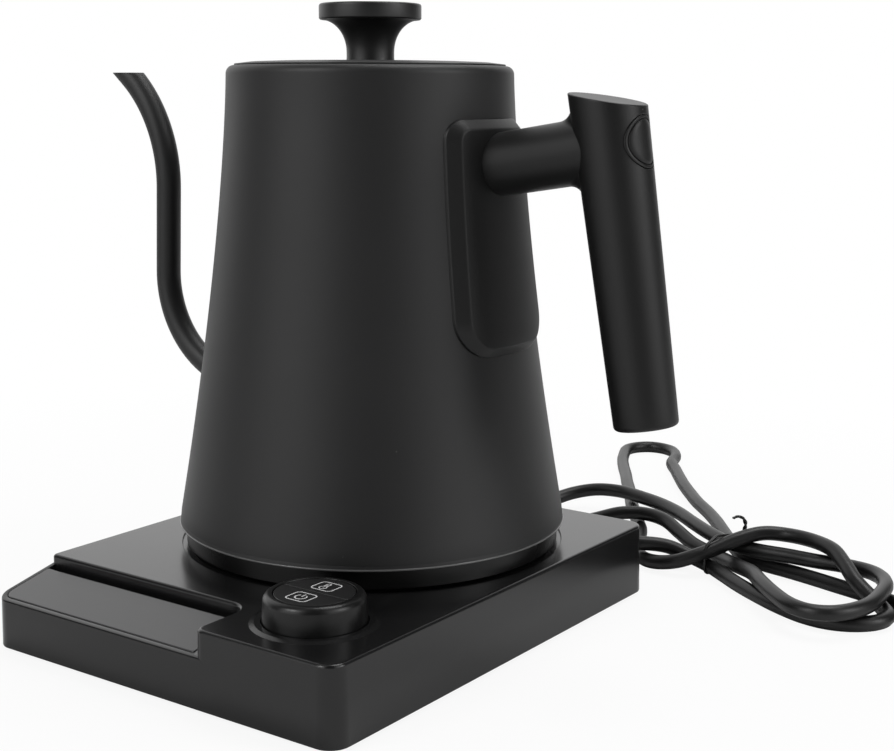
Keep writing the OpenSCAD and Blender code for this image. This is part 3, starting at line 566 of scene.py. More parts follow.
def make_tie():
    """The tie: a thin wire carried round the bundle in an upright plane, and its two ends twisted
    round each other and curled over."""
    shell = Shell()
    c, s = math.cos(TIE_TURN), math.sin(TIE_TURN)

    def at_tie(across, along, z):
        """Points from their places across the wire's plane, along it and above the table."""
        return xyz(TIE_X + c * across - s * along, TIE_Y + s * across + c * along, z)

    loop = rounded([(-14.4, 0.9, 3), (15.4, 0.9, 3), (15.2, 7.5, 3), (9.5, 14.6, 5),
                    (-7, 16.8, 5), (-14.6, 13.5, 4)], closed=True)
    loop = np.concatenate([loop, loop[:1]])
    shell.tube(at_tie(0, loop[:, 0], loop[:, 1]), 0.6, [c, s, 0], n=12, ends=False)
    spine = smooth_route([(0, 9.0, 14.9), (0.6, 10.6, 16.6), (0.4, 11.4, 19.2),
                          (-0.4, 10.6, 21.4), (-1.4, 8.4, 22.4), (-2.2, 6.4, 21.8)], 8)
    half_turns, apart = 5, 0.45
    for side in (0, math.pi):
        twist = side + np.linspace(0, 1, len(spine)) * half_turns * math.pi
        p = spine + xyz(apart * np.cos(twist), apart * np.sin(twist), 0)
        shell.tube(at_tie(*p.T), 0.5, [c + 0.3, s, 0.1], n=10)
    return shell.build("cord_tie_wire", "tie_plastic", "base", "cord_tie", sharp=50)


def make_plug():
    """The plug: sections |x/a|^n + |z/b|^n = 1 that grow along its axis from the round neck to
    the square-shouldered body, with ribs round the neck and shallow grip grooves on its sides."""
    shell = Shell()
    at, length = CORD_ROUTE[-1], 60.0
    key = np.array([
        # along, half width, half height, power
        (0, 3.2, 3.2, 2), (0.1, 4.1, 4.1, 2), (8, 4.6, 4.6, 2), (18, 5.6, 5.6, 2),
        (24, 6.5, 6.5, 2.1), (28, 8.6, 8.2, 2.4), (32, 11.2, 10.2, 3), (37, 12.7, 11.2, 3.6),
        (42, 13, 11.5, 4), (57.5, 13, 11.5, 4), (59.3, 12.6, 11.1, 4), (length, 11.6, 10.1, 4)
    ])
    y = np.unique(np.concatenate([np.linspace(0, length, 100), key[:, 0]]))
    a, b, n = (np.interp(y, key[:, 0], key[:, k]) for k in (1, 2, 3))
    grooves = 0.35 * np.clip(np.cos((y - 40) / 3.4 * 2 * np.pi), 0, 1) * (y > 39) * (y < 54)
    ribs = 0.5 * np.clip(np.sin(y / 3.6 * 2 * np.pi), 0, 1) * (y > 3) * (y < 21)
    a, b = np.append(a - grooves - ribs, 0)[:, None], np.append(b - ribs, 0)[:, None]
    y, n = np.append(y, length)[:, None], np.append(n, n[-1])[:, None]
    t = whole_turn(72)
    c, s = np.cos(t), np.sin(t)
    x = a * np.sign(c) * np.abs(c) ** (2 / n)
    z = b * np.sign(s) * np.abs(s) ** (2 / n)
    shell.grid(xyz(at[0] + x, at[1] + y, at[2] + z), flip=True)
    return shell.build("mains_plug", "cord_sheath", "base", "plug_body")


# ---- Kettle ----

def make_body():
    """The steel body: the wall curve, a round shoulder, the flat rim and the rolled lip, back
    down inside a wall 1 mm thick, turned about the kettle's axis."""
    shell = Shell()
    wall, shoulder_r = 1.0, 3.2
    lip_r, lip_deep = 45.5, 8.0
    end = RIM_Z - shoulder_r
    flat_r = float(wall_r(end)) - shoulder_r
    z = np.linspace(SHELL_Z, end, 60)
    outside, inside = xyz(wall_r(z), z), xyz(wall_r(z) - wall, z)[::-1]
    outside[0, 0] -= 0.25
    shoulder = arc(flat_r, end, shoulder_r, 8, 90, 12)
    lip = rounded([(lip_r + 2, RIM_Z, 0), (lip_r, RIM_Z, 0.4), (lip_r, RIM_Z - lip_deep, 0.3),
                   (lip_r + wall, RIM_Z - lip_deep, 0.3), (lip_r + wall, RIM_Z - wall, 0),
                   (flat_r, RIM_Z - wall, 0)])
    shell.turned(np.concatenate([outside, shoulder, lip, inside]), AXIS, n=192, closed=True)
    return shell.build("body_wall", "black_coating", "kettle", "kettle_body")


def make_foot():
    """The foot: a ring that carries the wall on to a thin polished lip at its lower edge; the
    lip's light grey colour is a painted highlight.
    """
    shell = Shell()
    inner_r, top, lip_r, lip_low, lip_top = 71.5, 39.75, 76.9, 37.7, 38.5
    wall = rounded([(inner_r, top, 0), (76.55, top, 0.3), (76.75, lip_top + 0.1, 0.1),
                    (lip_r, lip_top, 0)])
    shell.turned(wall[::-1], AXIS, n=192)
    shell.mark = 1
    lip = rounded([(inner_r, lip_low, 0), (FOOT_R, lip_low, 0.35), (FOOT_R, lip_top, 0.35),
                   (lip_r, lip_top, 0)])
    shell.turned(lip, AXIS, n=192)
    # Painted highlight: the glossy lip is coloured light grey so that its edge shows as a bright
    # line.
    lip_highlight_paint = finish("foot_lip_painted_highlight", (0.11, 0.11, 0.11), 0.18, grain=1600, bump=0.03)
    return shell.build("foot_band", "foot_plastic", "kettle", "foot_ring",
                       materials=[finish_of("black_coating"), lip_highlight_paint])


def make_spout():
    """The gooseneck: circles about a line of a short lead, a lower bend, a straight, an upper
    bend and a short straight end. A point at turn q of the circle is rho * cos(q) away from the
    line in its own plane and rho * sin(q) beside it. A flare at the root widens the circle by a
    share that fades with the distance from the wall. The last rows end where the circle meets
    the level of the tip, and the rows then go back inside."""
    shell = Shell()
    outer_r, wall = 5.2, 0.8
    root_z, tip_z, lead = 85.0, 213.4, 2.0
    low_r, high_r = 42.0, 58.3
    # The straight leans by the first angle, the upper bend is placed by the second, and it stops
    # at the third.
    lean, reach, last = np.radians([2.5, 52.7, 50])
    flare, fade = 1.7, 1.1
    q = whole_turn(48)

    low = np.array([-float(wall_r(root_z)) - lead, root_z + low_r])
    low_end = low + low_r * np.array([-np.cos(lean), np.sin(lean)])
    high_z = tip_z - high_r * (np.sin(reach) + np.sin(lean))
    up = (high_z - low_end[1]) / np.cos(lean)
    high_start = low_end + up * np.array([np.sin(lean), np.cos(lean)])
    high = high_start + high_r * np.array([-np.cos(lean), np.sin(lean)])
    rise = tip_z - high[1]

    def rows_at(rho):
        """Rows of points (x, beside, z) for the lead, the lower bend, the straight, and the upper
        bend with its straight end up to the tip's level."""
        x = np.linspace(low[0] + 10, low[0], 8)[:-1, None]
        rim = rho + flare * np.exp(-np.clip(low[0] + lead - 0.3 - x, 0, 9) / fade)
        first = xyz(x, rim * np.sin(q), rim * np.cos(q) + root_z)

        a = np.linspace(-np.pi / 2, -np.pi - lean, 36)[:, None]
        far = (-np.pi / 2 - a) * low_r + lead - 0.3
        wide = rho + np.clip(flare * np.exp(-far / fade), 0, flare)
        r = low_r - wide * np.cos(q)
        bend = xyz(low[0] + r * np.cos(a), wide * np.sin(q), low[1] + r * np.sin(a))

        side = rho * np.cos(q)
        line = low_end + np.linspace(0, 1, 12)[1:-1, None] * (high_start - low_end)
        middle = xyz(line[:, :1] + side * np.cos(lean), rho * np.sin(q),
                     line[:, 1:] - side * np.sin(lean))

        r = high_r + side
        stop = np.minimum(np.arcsin(np.clip(rise / r, -1, 1)), last)
        bent = r * (stop + lean)
        rest = np.clip(rise - r * np.sin(last), 0, None) / np.cos(last)
        run = np.linspace(0, 1, 36)[:, None] * (bent + rest)
        b = np.minimum(run, bent) / r - lean
        on = np.clip(run - bent, 0, None)
        top = xyz(high[0] + r * np.cos(b) - on * np.sin(last), rho * np.sin(q),
                  high[1] + r * np.sin(b) + on * np.cos(last))
        return np.concatenate([first, bend, middle, top])

    outer, inner = rows_at(outer_r), rows_at(outer_r - wall)
    edges = [(1 - share) * outer[-1:] + share * inner[-1:] + [0, 0, lift]
             for share, lift in ((0.15, 0.10), (0.65, 0.12))]
    shell.grid(np.concatenate([outer, *edges, inner[::-1]]) + [0, AXIS_Y, 0])
    return shell.build("gooseneck", "black_coating", "kettle", "spout")


def make_knob():
    """The lid's knob: a stem that flares in a quarter ellipse into a disc with softened edges,
    turned."""
    shell = Shell()
    knob_r, stem_r, top, thick, flare_h = 19.6, 9.15, 239.0, 6.0, 12.0
    bevel = 0.5
    disc_z, disc_r = top - thick, knob_r - bevel
    a = np.radians(np.linspace(0, 90, 20))
    stem = [(stem_r + 0.5, LID_TOP), (stem_r + 0.1, LID_TOP + 0.35), (stem_r, LID_TOP + 1.2)]
    flare = xyz(stem_r + (disc_r - stem_r) * (1 - np.cos(a)), disc_z - flare_h * (1 - np.sin(a)))
    edge = rounded([(disc_r, disc_z, 0), (knob_r, disc_z + bevel, 0.4), (knob_r, top, 1.0),
                    (0, top, 0)], step=12)
    shell.turned(np.concatenate([stem, flare, edge[1:]]), AXIS)
    return shell.build("knob", "knob_plastic", "lid", "lid_knob", sharp=40)


def make_lid():
    """The lid's plate, turned: a low dome whose thin edge lies over the rim; three steam holes
    are sunk beside its middle."""
    shell = Shell()
    edge_r, seat_r, dome_r, floor_r = 52.0, 44.9, 38.0, 40.0
    low, under = RIM_Z - 0.9, RIM_Z + 0.06
    hole_r, holes_r = 1.8, 30.0
    edge = rounded([(floor_r, low, 0), (seat_r, low, 0.2), (seat_r, under, 0),
                    (edge_r, under, 0.1), (edge_r, under + 0.5, 0.2), (46, LID_TOP - 0.3, 8),
                    (dome_r, LID_TOP, 0)], step=12)
    shell.turned(edge, AXIS)
    holes = []
    for angle in np.radians((150, 180, 210)):
        at = (holes_r * np.cos(angle), holes_r * np.sin(angle) + AXIS_Y)
        holes.append(circle(at, hole_r, 28))
        sunk = [(hole_r, LID_TOP), (1.55, LID_TOP - 0.1), (1.5, LID_TOP - 0.4), (1.5, low),
                (0, low)]
        shell.turned(sunk, at, n=28)
    shell.fill([circle(AXIS, dome_r, 144), *holes], LID_TOP)
    shell.fill([circle(AXIS, floor_r, 144)], low, flip=True)
    return shell.build("lid_disc", "black_coating", "lid", "lid_plate")


# ---- Handle ----

CROSS = Matrix.Translation((REACH, AXIS_Y, CROSS_Z)) @ Matrix.Rotation(-LEAN, 4, "Y")


def on_handle(points):
    """Points moved from the handle's own axes, which meet where arm and grip cross: x runs along
    the arm and z up the grip."""
    m = np.array(CROSS)
    return points @ m[:3, :3].T + m[:3, 3]


def grip_r(z):
    """Radius of the grip at height z along its own axis."""
    return GRIP_R + GRIP_GROWTH * (z - GRIP_LOW) / GRIP_LONG


def grip_rows(r, z, angles):
    """Rows round the grip's axis from their radii, heights and angles."""
    return on_handle(xyz(r * np.cos(angles), r * np.sin(angles), z))


def make_grip(shell):
    """The grip: a slim cone in three bands with softened ends, and its top is cut by a plane that
    falls outwards. Its middle band has, on the outside, rows that change evenly from the cap's
    round seat to the band's edges."""
    side = np.linspace(-np.pi / 2, np.pi / 2, 49)
    angles = np.concatenate([side, side[1:-1] + np.pi])
    foot_z, band, seat_r = -90, 10.8, 9.4

    ends = rounded([(0, GRIP_LOW, 0), (float(grip_r(GRIP_LOW)), GRIP_LOW, 1.8),
                    (float(grip_r(foot_z)), foot_z, 0)], step=10)
    z = np.linspace(foot_z, -band, 40)
    cone = np.concatenate([ends[:-1], xyz(grip_r(z), z)])
    shell.grid(grip_rows(cone[:, :1], cone[:, 1:], angles))

    fall, bevel = math.tan(math.radians(18)), 0.5
    edge_r = grip_r(GRIP_TOP) / (1 + GRIP_GROWTH * fall * np.cos(angles) / GRIP_LONG)
    a = np.radians(np.linspace(0, 90, 7))[:, None]
    inwards = np.linspace(0, 1, 14)[1:, None] * (edge_r - bevel)
    r = np.concatenate([edge_r - bevel * (1 - np.cos(a)), edge_r - bevel - inwards])
    drop = np.concatenate([bevel * (1 - np.sin(a)), np.zeros((13, 1))])
    cut_z = GRIP_TOP - fall * r * np.cos(angles) - drop
    t = np.linspace(0, 1, 8)[:-1, None]
    z = band * (1 - t) + cut_z[0] * t
    r, z = np.concatenate([grip_r(z), r]), np.concatenate([z, cut_z])
    shell.grid(grip_rows(r, z, angles))

    zs = np.linspace(-band, band, 17)
    back = np.concatenate([side[-1:], side[1:-1] + np.pi, side[:1] + 2 * np.pi])
    shell.grid(grip_rows(grip_r(zs)[:, None], zs[:, None], back), wrap=False)

    edge = np.concatenate([xyz(side, -band), xyz(side[-1], zs[1:-1]), xyz(side[::-1], band),
                           xyz(side[0], zs[-2:0:-1])])
    turn = np.arctan2(edge[:, 1] / band, edge[:, 0] / side[-1])

    def seat(radius, sink):
        """A circle of this radius about the arm's axis, laid on the grip or sunk below it."""
        y, z = radius * np.cos(turn), radius * np.sin(turn)
        return xyz(np.sqrt((grip_r(z) - sink) ** 2 - y ** 2), y, z)

    rim = seat(seat_r + 0.22, 0)
    rim = xyz(np.arctan2(rim[:, 1], rim[:, 0]), rim[:, 2])
    t = np.linspace(0, 1, 12)[:, None, None]
    spread = rim * (1 - t) + edge * t
    walls = np.stack([seat(seat_r, 1.4), seat(seat_r, 0.4), seat(seat_r + 0.04, 0.13)])
    front = grip_rows(grip_r(spread[..., 1]), spread[..., 1], spread[..., 0])
    shell.grid(np.concatenate([on_handle(walls), front]), flip=True)


def make_arm(shell):
    """The arm: a round bar that widens into the grip in a quarter circle, most above and
    below."""
    arm_r, start, sunk = 11.6, -61.0, 0.4
    q = whole_turn(96)
    widen = 6.5 * np.abs(np.cos(q)) ** 1.5 + 0.3
    end_r = arm_r + widen
    y, z = end_r * np.sin(q), end_r * np.cos(q)
    x_end = -np.sqrt(np.clip(grip_r(z) ** 2 - y ** 2, 0.5, None)) + sunk
    along = np.linspace(0, 1, 16)[:, None]
    bar = xyz(start + along * (x_end - widen - start), arm_r * np.sin(q), arm_r * np.cos(q))
    b = np.radians(np.linspace(0, 90, 12))[1:, None]
    rho = arm_r + widen * (1 - np.cos(b))
    blend = xyz(x_end - widen + widen * np.sin(b), rho * np.sin(q), rho * np.cos(q))
    shell.grid(on_handle(np.concatenate([bar, blend])), flip=True)


def make_handle():
    """The handle: grip and arm as one piece."""
    shell = Shell()
    make_grip(shell)
    make_arm(shell)
    return shell.build("handle_grip", "handle_plastic", "kettle", "handle", sharp=38)


def make_cap():
    """The cap over the handle's bolt: rings about the arm's axis, laid on the grip's round side,
    with a groove near the edge."""
    shell = Shell()
    profile = np.array([
        # radius, depth below the grip's side
        (9.2, 1.4), (9.2, 0.25), (9.13, 0.08), (9.0, 0), (8.4, 0), (8.25, 0.1), (8.18, 0.5),
        (7.8, 0.55), (7.7, 0.14), (7.55, 0), (6, 0), (4, 0), (2, 0), (0, 0)
    ])
    q = whole_turn(96)
    y, z = profile[:, :1] * np.cos(q), profile[:, :1] * np.sin(q)
    x = np.sqrt((grip_r(z) - profile[:, 1:]) ** 2 - y ** 2)
    shell.grid(on_handle(xyz(x, y, z)))
    return shell.build("bolt_cap", "handle_plastic", "kettle", "grip_cap", sharp=45)


PAD_TOP, PAD_LOW = CROSS_Z + 8.7, CROSS_Z - 77.3
PAD_THICK, PAD_EDGE = 4.2, 7.5  # how far it stands out, and the width of its sloped edge


def between(a, b, n):
    """n - 2 points evenly along the straight from a to b, without its ends."""
    t = np.linspace(0, 1, n)[1:-1, None]
    return a * (1 - t) + b * t


def pad_outline(out):
    """The pad seen along X, grown by out: four arcs about fixed centres, with points 1.5 mm apart
    on its sides."""
    top_x, low_x, top_r, low_r = 23.5, 26.0, 8, 14
    tx, tz, tr = top_x - top_r, PAD_TOP - top_r, top_r + out
    bx, bz, br = low_x - low_r, PAD_LOW + low_r, low_r + out
    c = [arc(tx, tz, tr, 90, 0, 13), arc(bx, bz, br, 0, -90, 19),
         arc(-bx, bz, br, -90, -180, 19), arc(-tx, tz, tr, 180, 90, 13)]
    return np.concatenate([
        c[0], between(c[0][-1], c[1][0], 42), c[1], between(c[1][-1], c[2][0], 20),
        c[2], between(c[2][-1], c[3][0], 42), c[3], between(c[3][-1], c[0][0], 20)])


def make_pad():
    """The pad between handle and body. Its outline is drawn at several offsets, and each row
    stands its own height above the body's wall: x = sqrt((wall + height)^2 - y^2)."""
    shell = Shell()
    step = rounded([(0, -0.6, 0), (0, 1.1, 0.7), (-3.4, PAD_THICK, 1.5),
                    (-PAD_EDGE, PAD_THICK, 0)], step=8)
    inner = pad_outline(-PAD_EDGE)
    middle = np.array([0, (PAD_TOP + PAD_LOW) / 2])
    shares = np.linspace(1, 0, 16)[1:]
    yz = np.stack([pad_outline(out) for out in step[:, 0]]
                  + [middle + (inner - middle) * share for share in shares])
    height = np.append(step[:, 1], np.full(len(shares), PAD_THICK))[:, None]
    y, z = yz[..., 0], yz[..., 1]
    shell.grid(xyz(np.sqrt((wall_r(z) + height) ** 2 - y ** 2), y + AXIS_Y, z), flip=True)
    return shell.build("handle_plate", "handle_plastic", "kettle", "handle_pad", sharp=50)


# ---- Base ----

def deck_outline(i):
    """The deck seen from above, shrunk by i: a rounded rectangle with the display recess cut out
    of it."""
    x, y, r = BASE_X - i, BASE_Y - i, CORNER_R - i
    recess_x, recess_y = RECESS_X - DRAFT + i, RECESS_Y - DRAFT + i
    return rounded([(x, -y, r), (x, y, r), (-x, y, r), (-x, recess_y, 2.8 - i),
                    (recess_x, recess_y, RECESS_R - DRAFT + i), (recess_x, -y, 4.6 - i)],
                   closed=True, ease=EASE)


def base_outline(i):
    """The base seen from above, shrunk by i: a rounded rectangle."""
    x, y, r = BASE_X - i, BASE_Y - i, CORNER_R - i
    return rounded([(x, -y, r), (x, y, r), (-x, y, r), (-x, -y, r)], closed=True, ease=EASE)


def shelf_outline(i):
    """The display shelf seen from above, shrunk by i at the base's sides: it goes on under the
    deck's edges."""
    x, y, inner_x, inner_y = BASE_X - i, BASE_Y - i, 25.3 - i, -72 - i
    return rounded([(inner_x, -y, 0), (inner_x, inner_y, 0), (-x, inner_y, 0),
                    (-x, -y, CORNER_R - i)], closed=True, ease=EASE)


PANEL_LEFT, PANEL_RIGHT, PANEL_FRONT, PANEL_BACK = -80.2, 19.1, -99.2, -77.5
PANEL_R, PANEL_SMALL_R = 4.7, 0.6
SLOT_RIGHT, SLOT_BACK = 13.8, -73.9


def panel_outline(i):
    """The display panel seen from above, shrunk by i."""
    return rounded([(PANEL_LEFT + i, PANEL_FRONT + i, PANEL_R - i),
                    (PANEL_RIGHT - i, PANEL_FRONT + i, PANEL_SMALL_R),
                    (PANEL_RIGHT - i, PANEL_BACK - i, PANEL_SMALL_R),
                    (PANEL_LEFT + i, PANEL_BACK - i, PANEL_SMALL_R)], closed=True, ease=0.2)


def pocket_outline(o):
    """The panel's pocket, grown by o, joined with the slot behind the panel."""
    left, right, front, back = PANEL_LEFT - o, PANEL_RIGHT + o, PANEL_FRONT - o, PANEL_BACK + o
    return rounded([(left, front, PANEL_R + o), (right, front, PANEL_SMALL_R + o),
                    (right, back, PANEL_SMALL_R + o), (SLOT_RIGHT + o, back, 0),
                    (SLOT_RIGHT + o, SLOT_BACK, 0), (left, SLOT_BACK, 0)], closed=True)


def make_base():
    """The base: a rounded block's wall; the deck's L-shaped wall with a rounded edge above it;
    the sloped shelf in its corner with the pocket for the panel; the kettle's round seat sunk
    into the deck, and a low collar round the dial."""
    edge = bpy.context.scene.kettle_sizes.deck_edge / MM
    shell = Shell()
    shell.grid(drawn(base_outline, [
        (2.5, 6), (2.5, BASE_LOW), (0.6, BASE_LOW), (0.15, BASE_LOW + 0.15),
        (0, BASE_LOW + 0.6), (SPLIT_IN, SPLIT_Z)]))
    shell.grid(drawn(deck_outline, edge_steps(edge, SPLIT_Z, BASE_H, start=SPLIT_IN, end=DRAFT)))

    shelf_edge = 0.5
    steps = edge_steps(shelf_edge, -5, 0, start=SPLIT_IN, end=SPLIT_IN)
    shelf = drawn(shelf_outline, steps, shelf_z)
    shelf[0, :, 2] = SPLIT_Z
    shell.grid(shelf)

    gap, lip, deep = 0.3, 0.12, 2.2
    mouth = gap + lip
    steps = [(0, 0), (lip / 2, -lip / 4), (lip, -lip), (lip, -deep)]
    shell.grid(drawn(lambda i: pocket_outline(mouth - i), steps, shelf_z))
    shell.fill([shelf_outline(SPLIT_IN + shelf_edge + EASE), pocket_outline(mouth)], shelf_z)
    shell.fill([pocket_outline(gap)], lambda y: shelf_z(y) - deep)

    floor_z, hub_z = 28.7, 26
    seat_r, collar_r, collar_top, dial_r = 76.9, 23.6, BASE_H + 0.7, 18.45
    seat = rounded([(seat_r, BASE_H, 0), (76.3, BASE_H, 0.3), (76.3, floor_z, 0.2),
                    (17.8, floor_z, 0.3), (17.8, hub_z, 0)])
    shell.turned(seat, AXIS, n=192)
    collar = rounded([(collar_r, BASE_H, 0), (22.6, BASE_H, 1.2), (20.6, collar_top, 1.4),
                      (dial_r, collar_top, 0.25), (dial_r, floor_z, 0.2), (13.6, floor_z, 0.2),
                      (13.6, hub_z, 0)])
    shell.turned(collar, DIAL, n=120)
    shell.fill([deck_outline(DRAFT + edge + EASE), circle(AXIS, seat_r, 192),
                circle(DIAL, collar_r, 120)], BASE_H)
    return shell.build("base_shell", "base_plastic", "base", "base_housing", sharp=40)


def make_panel():
    """The display panel: a thin sloped plate with softened edges in the shelf's pocket."""
    shell = Shell()
    edge, flat, proud = 0.35, 0.2, 0.2
    shell.grid(drawn(panel_outline, edge_steps(edge, -1.5, proud, flat), shelf_z))
    shell.fill([panel_outline(edge + flat)], lambda y: shelf_z(y) + proud)
    return shell.build("display_plate", "panel_gloss", "base", "display_panel", sharp=50)


# ---- Dial ----

def make_dial():
    """The dial: its hub, its slightly tapered side, a round shoulder and the cup for the buttons,
    turned."""
    shell = Shell()
    low, hub_low, hub_r, foot_r, cup_r, cup_z = 29, 14, 13.2, 18.1, 14.3, 31
    taper = 0.4 / 8.6
    top_r = foot_r - taper * (DIAL_TOP - low)
    profile = rounded([(hub_r, hub_low, 0), (hub_r, low, 0), (foot_r, low, 0.35),
                       (top_r, DIAL_TOP, 2.7), (cup_r, DIAL_TOP, 0.3), (cup_r, cup_z, 0.4),
                       (12, cup_z, 0)])
    shell.turned(profile, DIAL)
    return shell.build("dial_knob", "dial_plastic", "dial", "dial_ring", sharp=60)


def half_disc(s, i):
    """Half of the split disc on the dial, shrunk by i: an arc closed by a straight. s is -1 for
    the front half and 1 for the back half."""
    r = BUTTON_R - i
    a = math.degrees(math.asin((0.25 + i) / r))
    bend = arc(0, 0, r, 180 + a, 360 - a, 73) if s < 0 else arc(0, 0, r, a, 180 - a, 73)
    return np.concatenate([bend, between(bend[-1], bend[0], 24)]) + DIAL


def make_button(s, name, body):
    """One of the dial's two half-disc buttons, with softened edges and a stem below."""
    shell = Shell()
    edge, flat, low = 0.25, 0.2, BUTTON_TOP - 1.7
    stem_r, stem_y = 1.7, 6.2
    shell.grid(drawn(lambda i: half_disc(s, i), edge_steps(edge, low, BUTTON_TOP, flat, 6)))
    shell.fill([half_disc(s, edge + flat)], BUTTON_TOP)
    shell.fill([half_disc(s, 0)], low, flip=True)
    stem = [(0, BUTTON_LOW), (stem_r, BUTTON_LOW), (stem_r, low + 0.2)]
    shell.turned(stem, (DIAL[0], DIAL[1] + s * stem_y), n=32)
    return shell.build(name, "button_plastic", body, body, sharp=50)


def ribbon(shell, path, width, closed=False):
    """A flat line on top of the buttons: the path moved half its width to each side of its own
    direction."""
    p = np.asarray(path, float)
    if closed:
        d = np.gradient(np.concatenate([p[-1:], p, p[:1]]), axis=0)[1:-1]
    else:
        d = np.gradient(p, axis=0)
    d /= np.linalg.norm(d, axis=1, keepdims=True)
    across = xyz(-d[:, 1], d[:, 0]) * width / 2
    rows = np.stack([p - across, p + across])
    shell.grid(xyz(rows[..., 0], rows[..., 1], BUTTON_TOP + 0.03), wrap=closed)


def make_icon(kind, s, body):
    """A printed frame with a plain power or thermometer sign in it, as flat lines."""
    line = bpy.context.scene.kettle_sizes.icon_line / MM
    shell = Shell()
    c = np.array([DIAL[0] - 0.3, DIAL[1] + s * 6.6])
    x, y, r = 4.3, 3.9, 1.6
    frame_path = rounded([(x, -y, r), (x, y, r), (-x, y, r), (-x, -y, r)], closed=True, ease=0.2)
    ribbon(shell, frame_path + c, line, closed=True)
    if kind == "power":
        ribbon(shell, arc(0, -0.2, 2.05, 128, 412, 60) + c, line)
        ribbon(shell, np.array([(0, 0.2), (0, 1.4), (0, 2.6)]) + c, line)
    else:
        x = -0.5
        glass = [arc(x, -1.35, 1.35, 58, -238, 40), arc(x, 2.0, 0.72, 180, 0, 16)]
        ribbon(shell, np.concatenate(glass) + c, line * 0.8, closed=True)
        ribbon(shell, np.array([(x, -1.5), (x, 0), (x, 1.4)]) + c, line * 0.7)
    mark = finish("icon_print", (0.75, 0.75, 0.75), 0.5, grain=2400, bump=0.05, tone=0.05)
    return shell.build(f"{kind}_sign", "button_plastic", body, materials=[mark])


# ---- Stage ----

CAMERA_PLACE = (0.3745916, -0.4483973, 0.2077062)
CAMERA_YAW, CAMERA_PITCH, CAMERA_ROLL, CAMERA_LENS = 0.6223012, 0.1857915, 0.0038889, 61.7048


def make_camera():
    """The camera: yaw turns it from +Y towards -X, pitch tips it down and roll turns the
    picture."""
    yaw, pitch, roll = CAMERA_YAW, CAMERA_PITCH, CAMERA_ROLL
    ahead = Vector((-math.sin(yaw) * math.cos(pitch), math.cos(yaw) * math.cos(pitch),
                    -math.sin(pitch)))
    right = Vector((math.cos(yaw), math.sin(yaw), 0))
    up = right.cross(ahead)
    across = math.cos(roll) * right + math.sin(roll) * up
    upright = -math.sin(roll) * right + math.cos(roll) * up
    camera = bpy.data.objects.new("camera", bpy.data.cameras.new("camera"))
    bpy.context.scene.collection.objects.link(camera)
    camera.data.sensor_width = 36.0
    camera.data.sensor_fit = "HORIZONTAL"
    camera.data.lens = CAMERA_LENS
    camera.data.clip_start, camera.data.clip_end = 0.01, 50
    rows = zip(across, upright, -ahead, CAMERA_PLACE)
    camera.matrix_world = Matrix([*rows, (0, 0, 0, 1)])
    bpy.context.scene.camera = camera


def make_lamp(name, place, aim, size, power):
    """A soft rectangular lamp at a place, turned to shine on its aim."""
    data = bpy.data.lights.new(name, "AREA")
    data.shape = "RECTANGLE"
    data.size, data.size_y = size
    data.energy = power
    lamp = bpy.data.objects.new(name, data)
    bpy.context.scene.collection.objects.link(lamp)
    lamp.location = place
    lamp.rotation_euler = (Vector(aim) - Vector(place)).to_track_quat("-Z", "Y").to_euler()


def seen_white(tree):
    """1 on rays from the camera and through glass, and 0 on others."""
    path = tree.nodes.new("ShaderNodeLightPath").outputs
    return maths(tree, "MAXIMUM", path["Is Camera Ray"], path["Is Transmission Ray"])


def shader_mix(tree, factor, a, b):
    """The first shader where factor is 0 and the second where it is 1."""
    return node(tree, "ShaderNodeMixShader", {
        0: factor, 1: a.outputs[0], 2: b.outputs[0]})


def make_floor():
    """A wide pale floor: mostly plain white where it is seen, so that only soft shadows show on
    it, and all white far from the kettle."""
    half, z = 6000 * MM, -0.3 * MM
    material = bpy.data.materials.new("floor_white")
    material.use_nodes = True
    tree = material.node_tree
    tree.nodes.clear()
    out = tree.nodes.new("ShaderNodeOutputMaterial")
    plain = node(tree, "ShaderNodeBsdfDiffuse", {"Color": (0.9, 0.9, 0.9, 1)})
    glow = node(tree, "ShaderNodeEmission", {"Color": (1, 1, 1, 1), "Strength": 1.0})
    far = node(tree, "ShaderNodeVectorMath", {0: object_point(tree)}, operation="LENGTH")
    fade = node(tree, "ShaderNodeMapRange", {
        "Value": far.outputs["Value"], "From Min": 0.12, "From Max": 0.5, "To Min": 0.9})
    share = maths(tree, "MULTIPLY", seen_white(tree), fade.outputs[0])
    feed(tree, out.inputs["Surface"], shader_mix(tree, share, plain, glow).outputs[0])
    mesh = bpy.data.meshes.new("floor")
    corners = [(-half, -half, z), (half, -half, z), (half, half, z), (-half, half, z)]
    mesh.from_pydata(corners, [], [(0, 1, 2, 3)])
    mesh.materials.append(material)
    floor = bpy.data.objects.new("floor", mesh)
    bpy.context.scene.collection.objects.link(floor)


ROOM = (
    # direction from +X towards +Y in degrees, and how light the room is there
    (-180, 0.95), (-166, 0.5), (-154, 0.04), (-136, 0.06), (-124, 1.5), (-92, 1.5), (-76, 0.08),
    (-30, 0.03), (-14, 1.1), (20, 1.3), (36, 0.05), (76, 0.05), (90, 0.8), (104, 0.95),
    (180, 0.95)
)


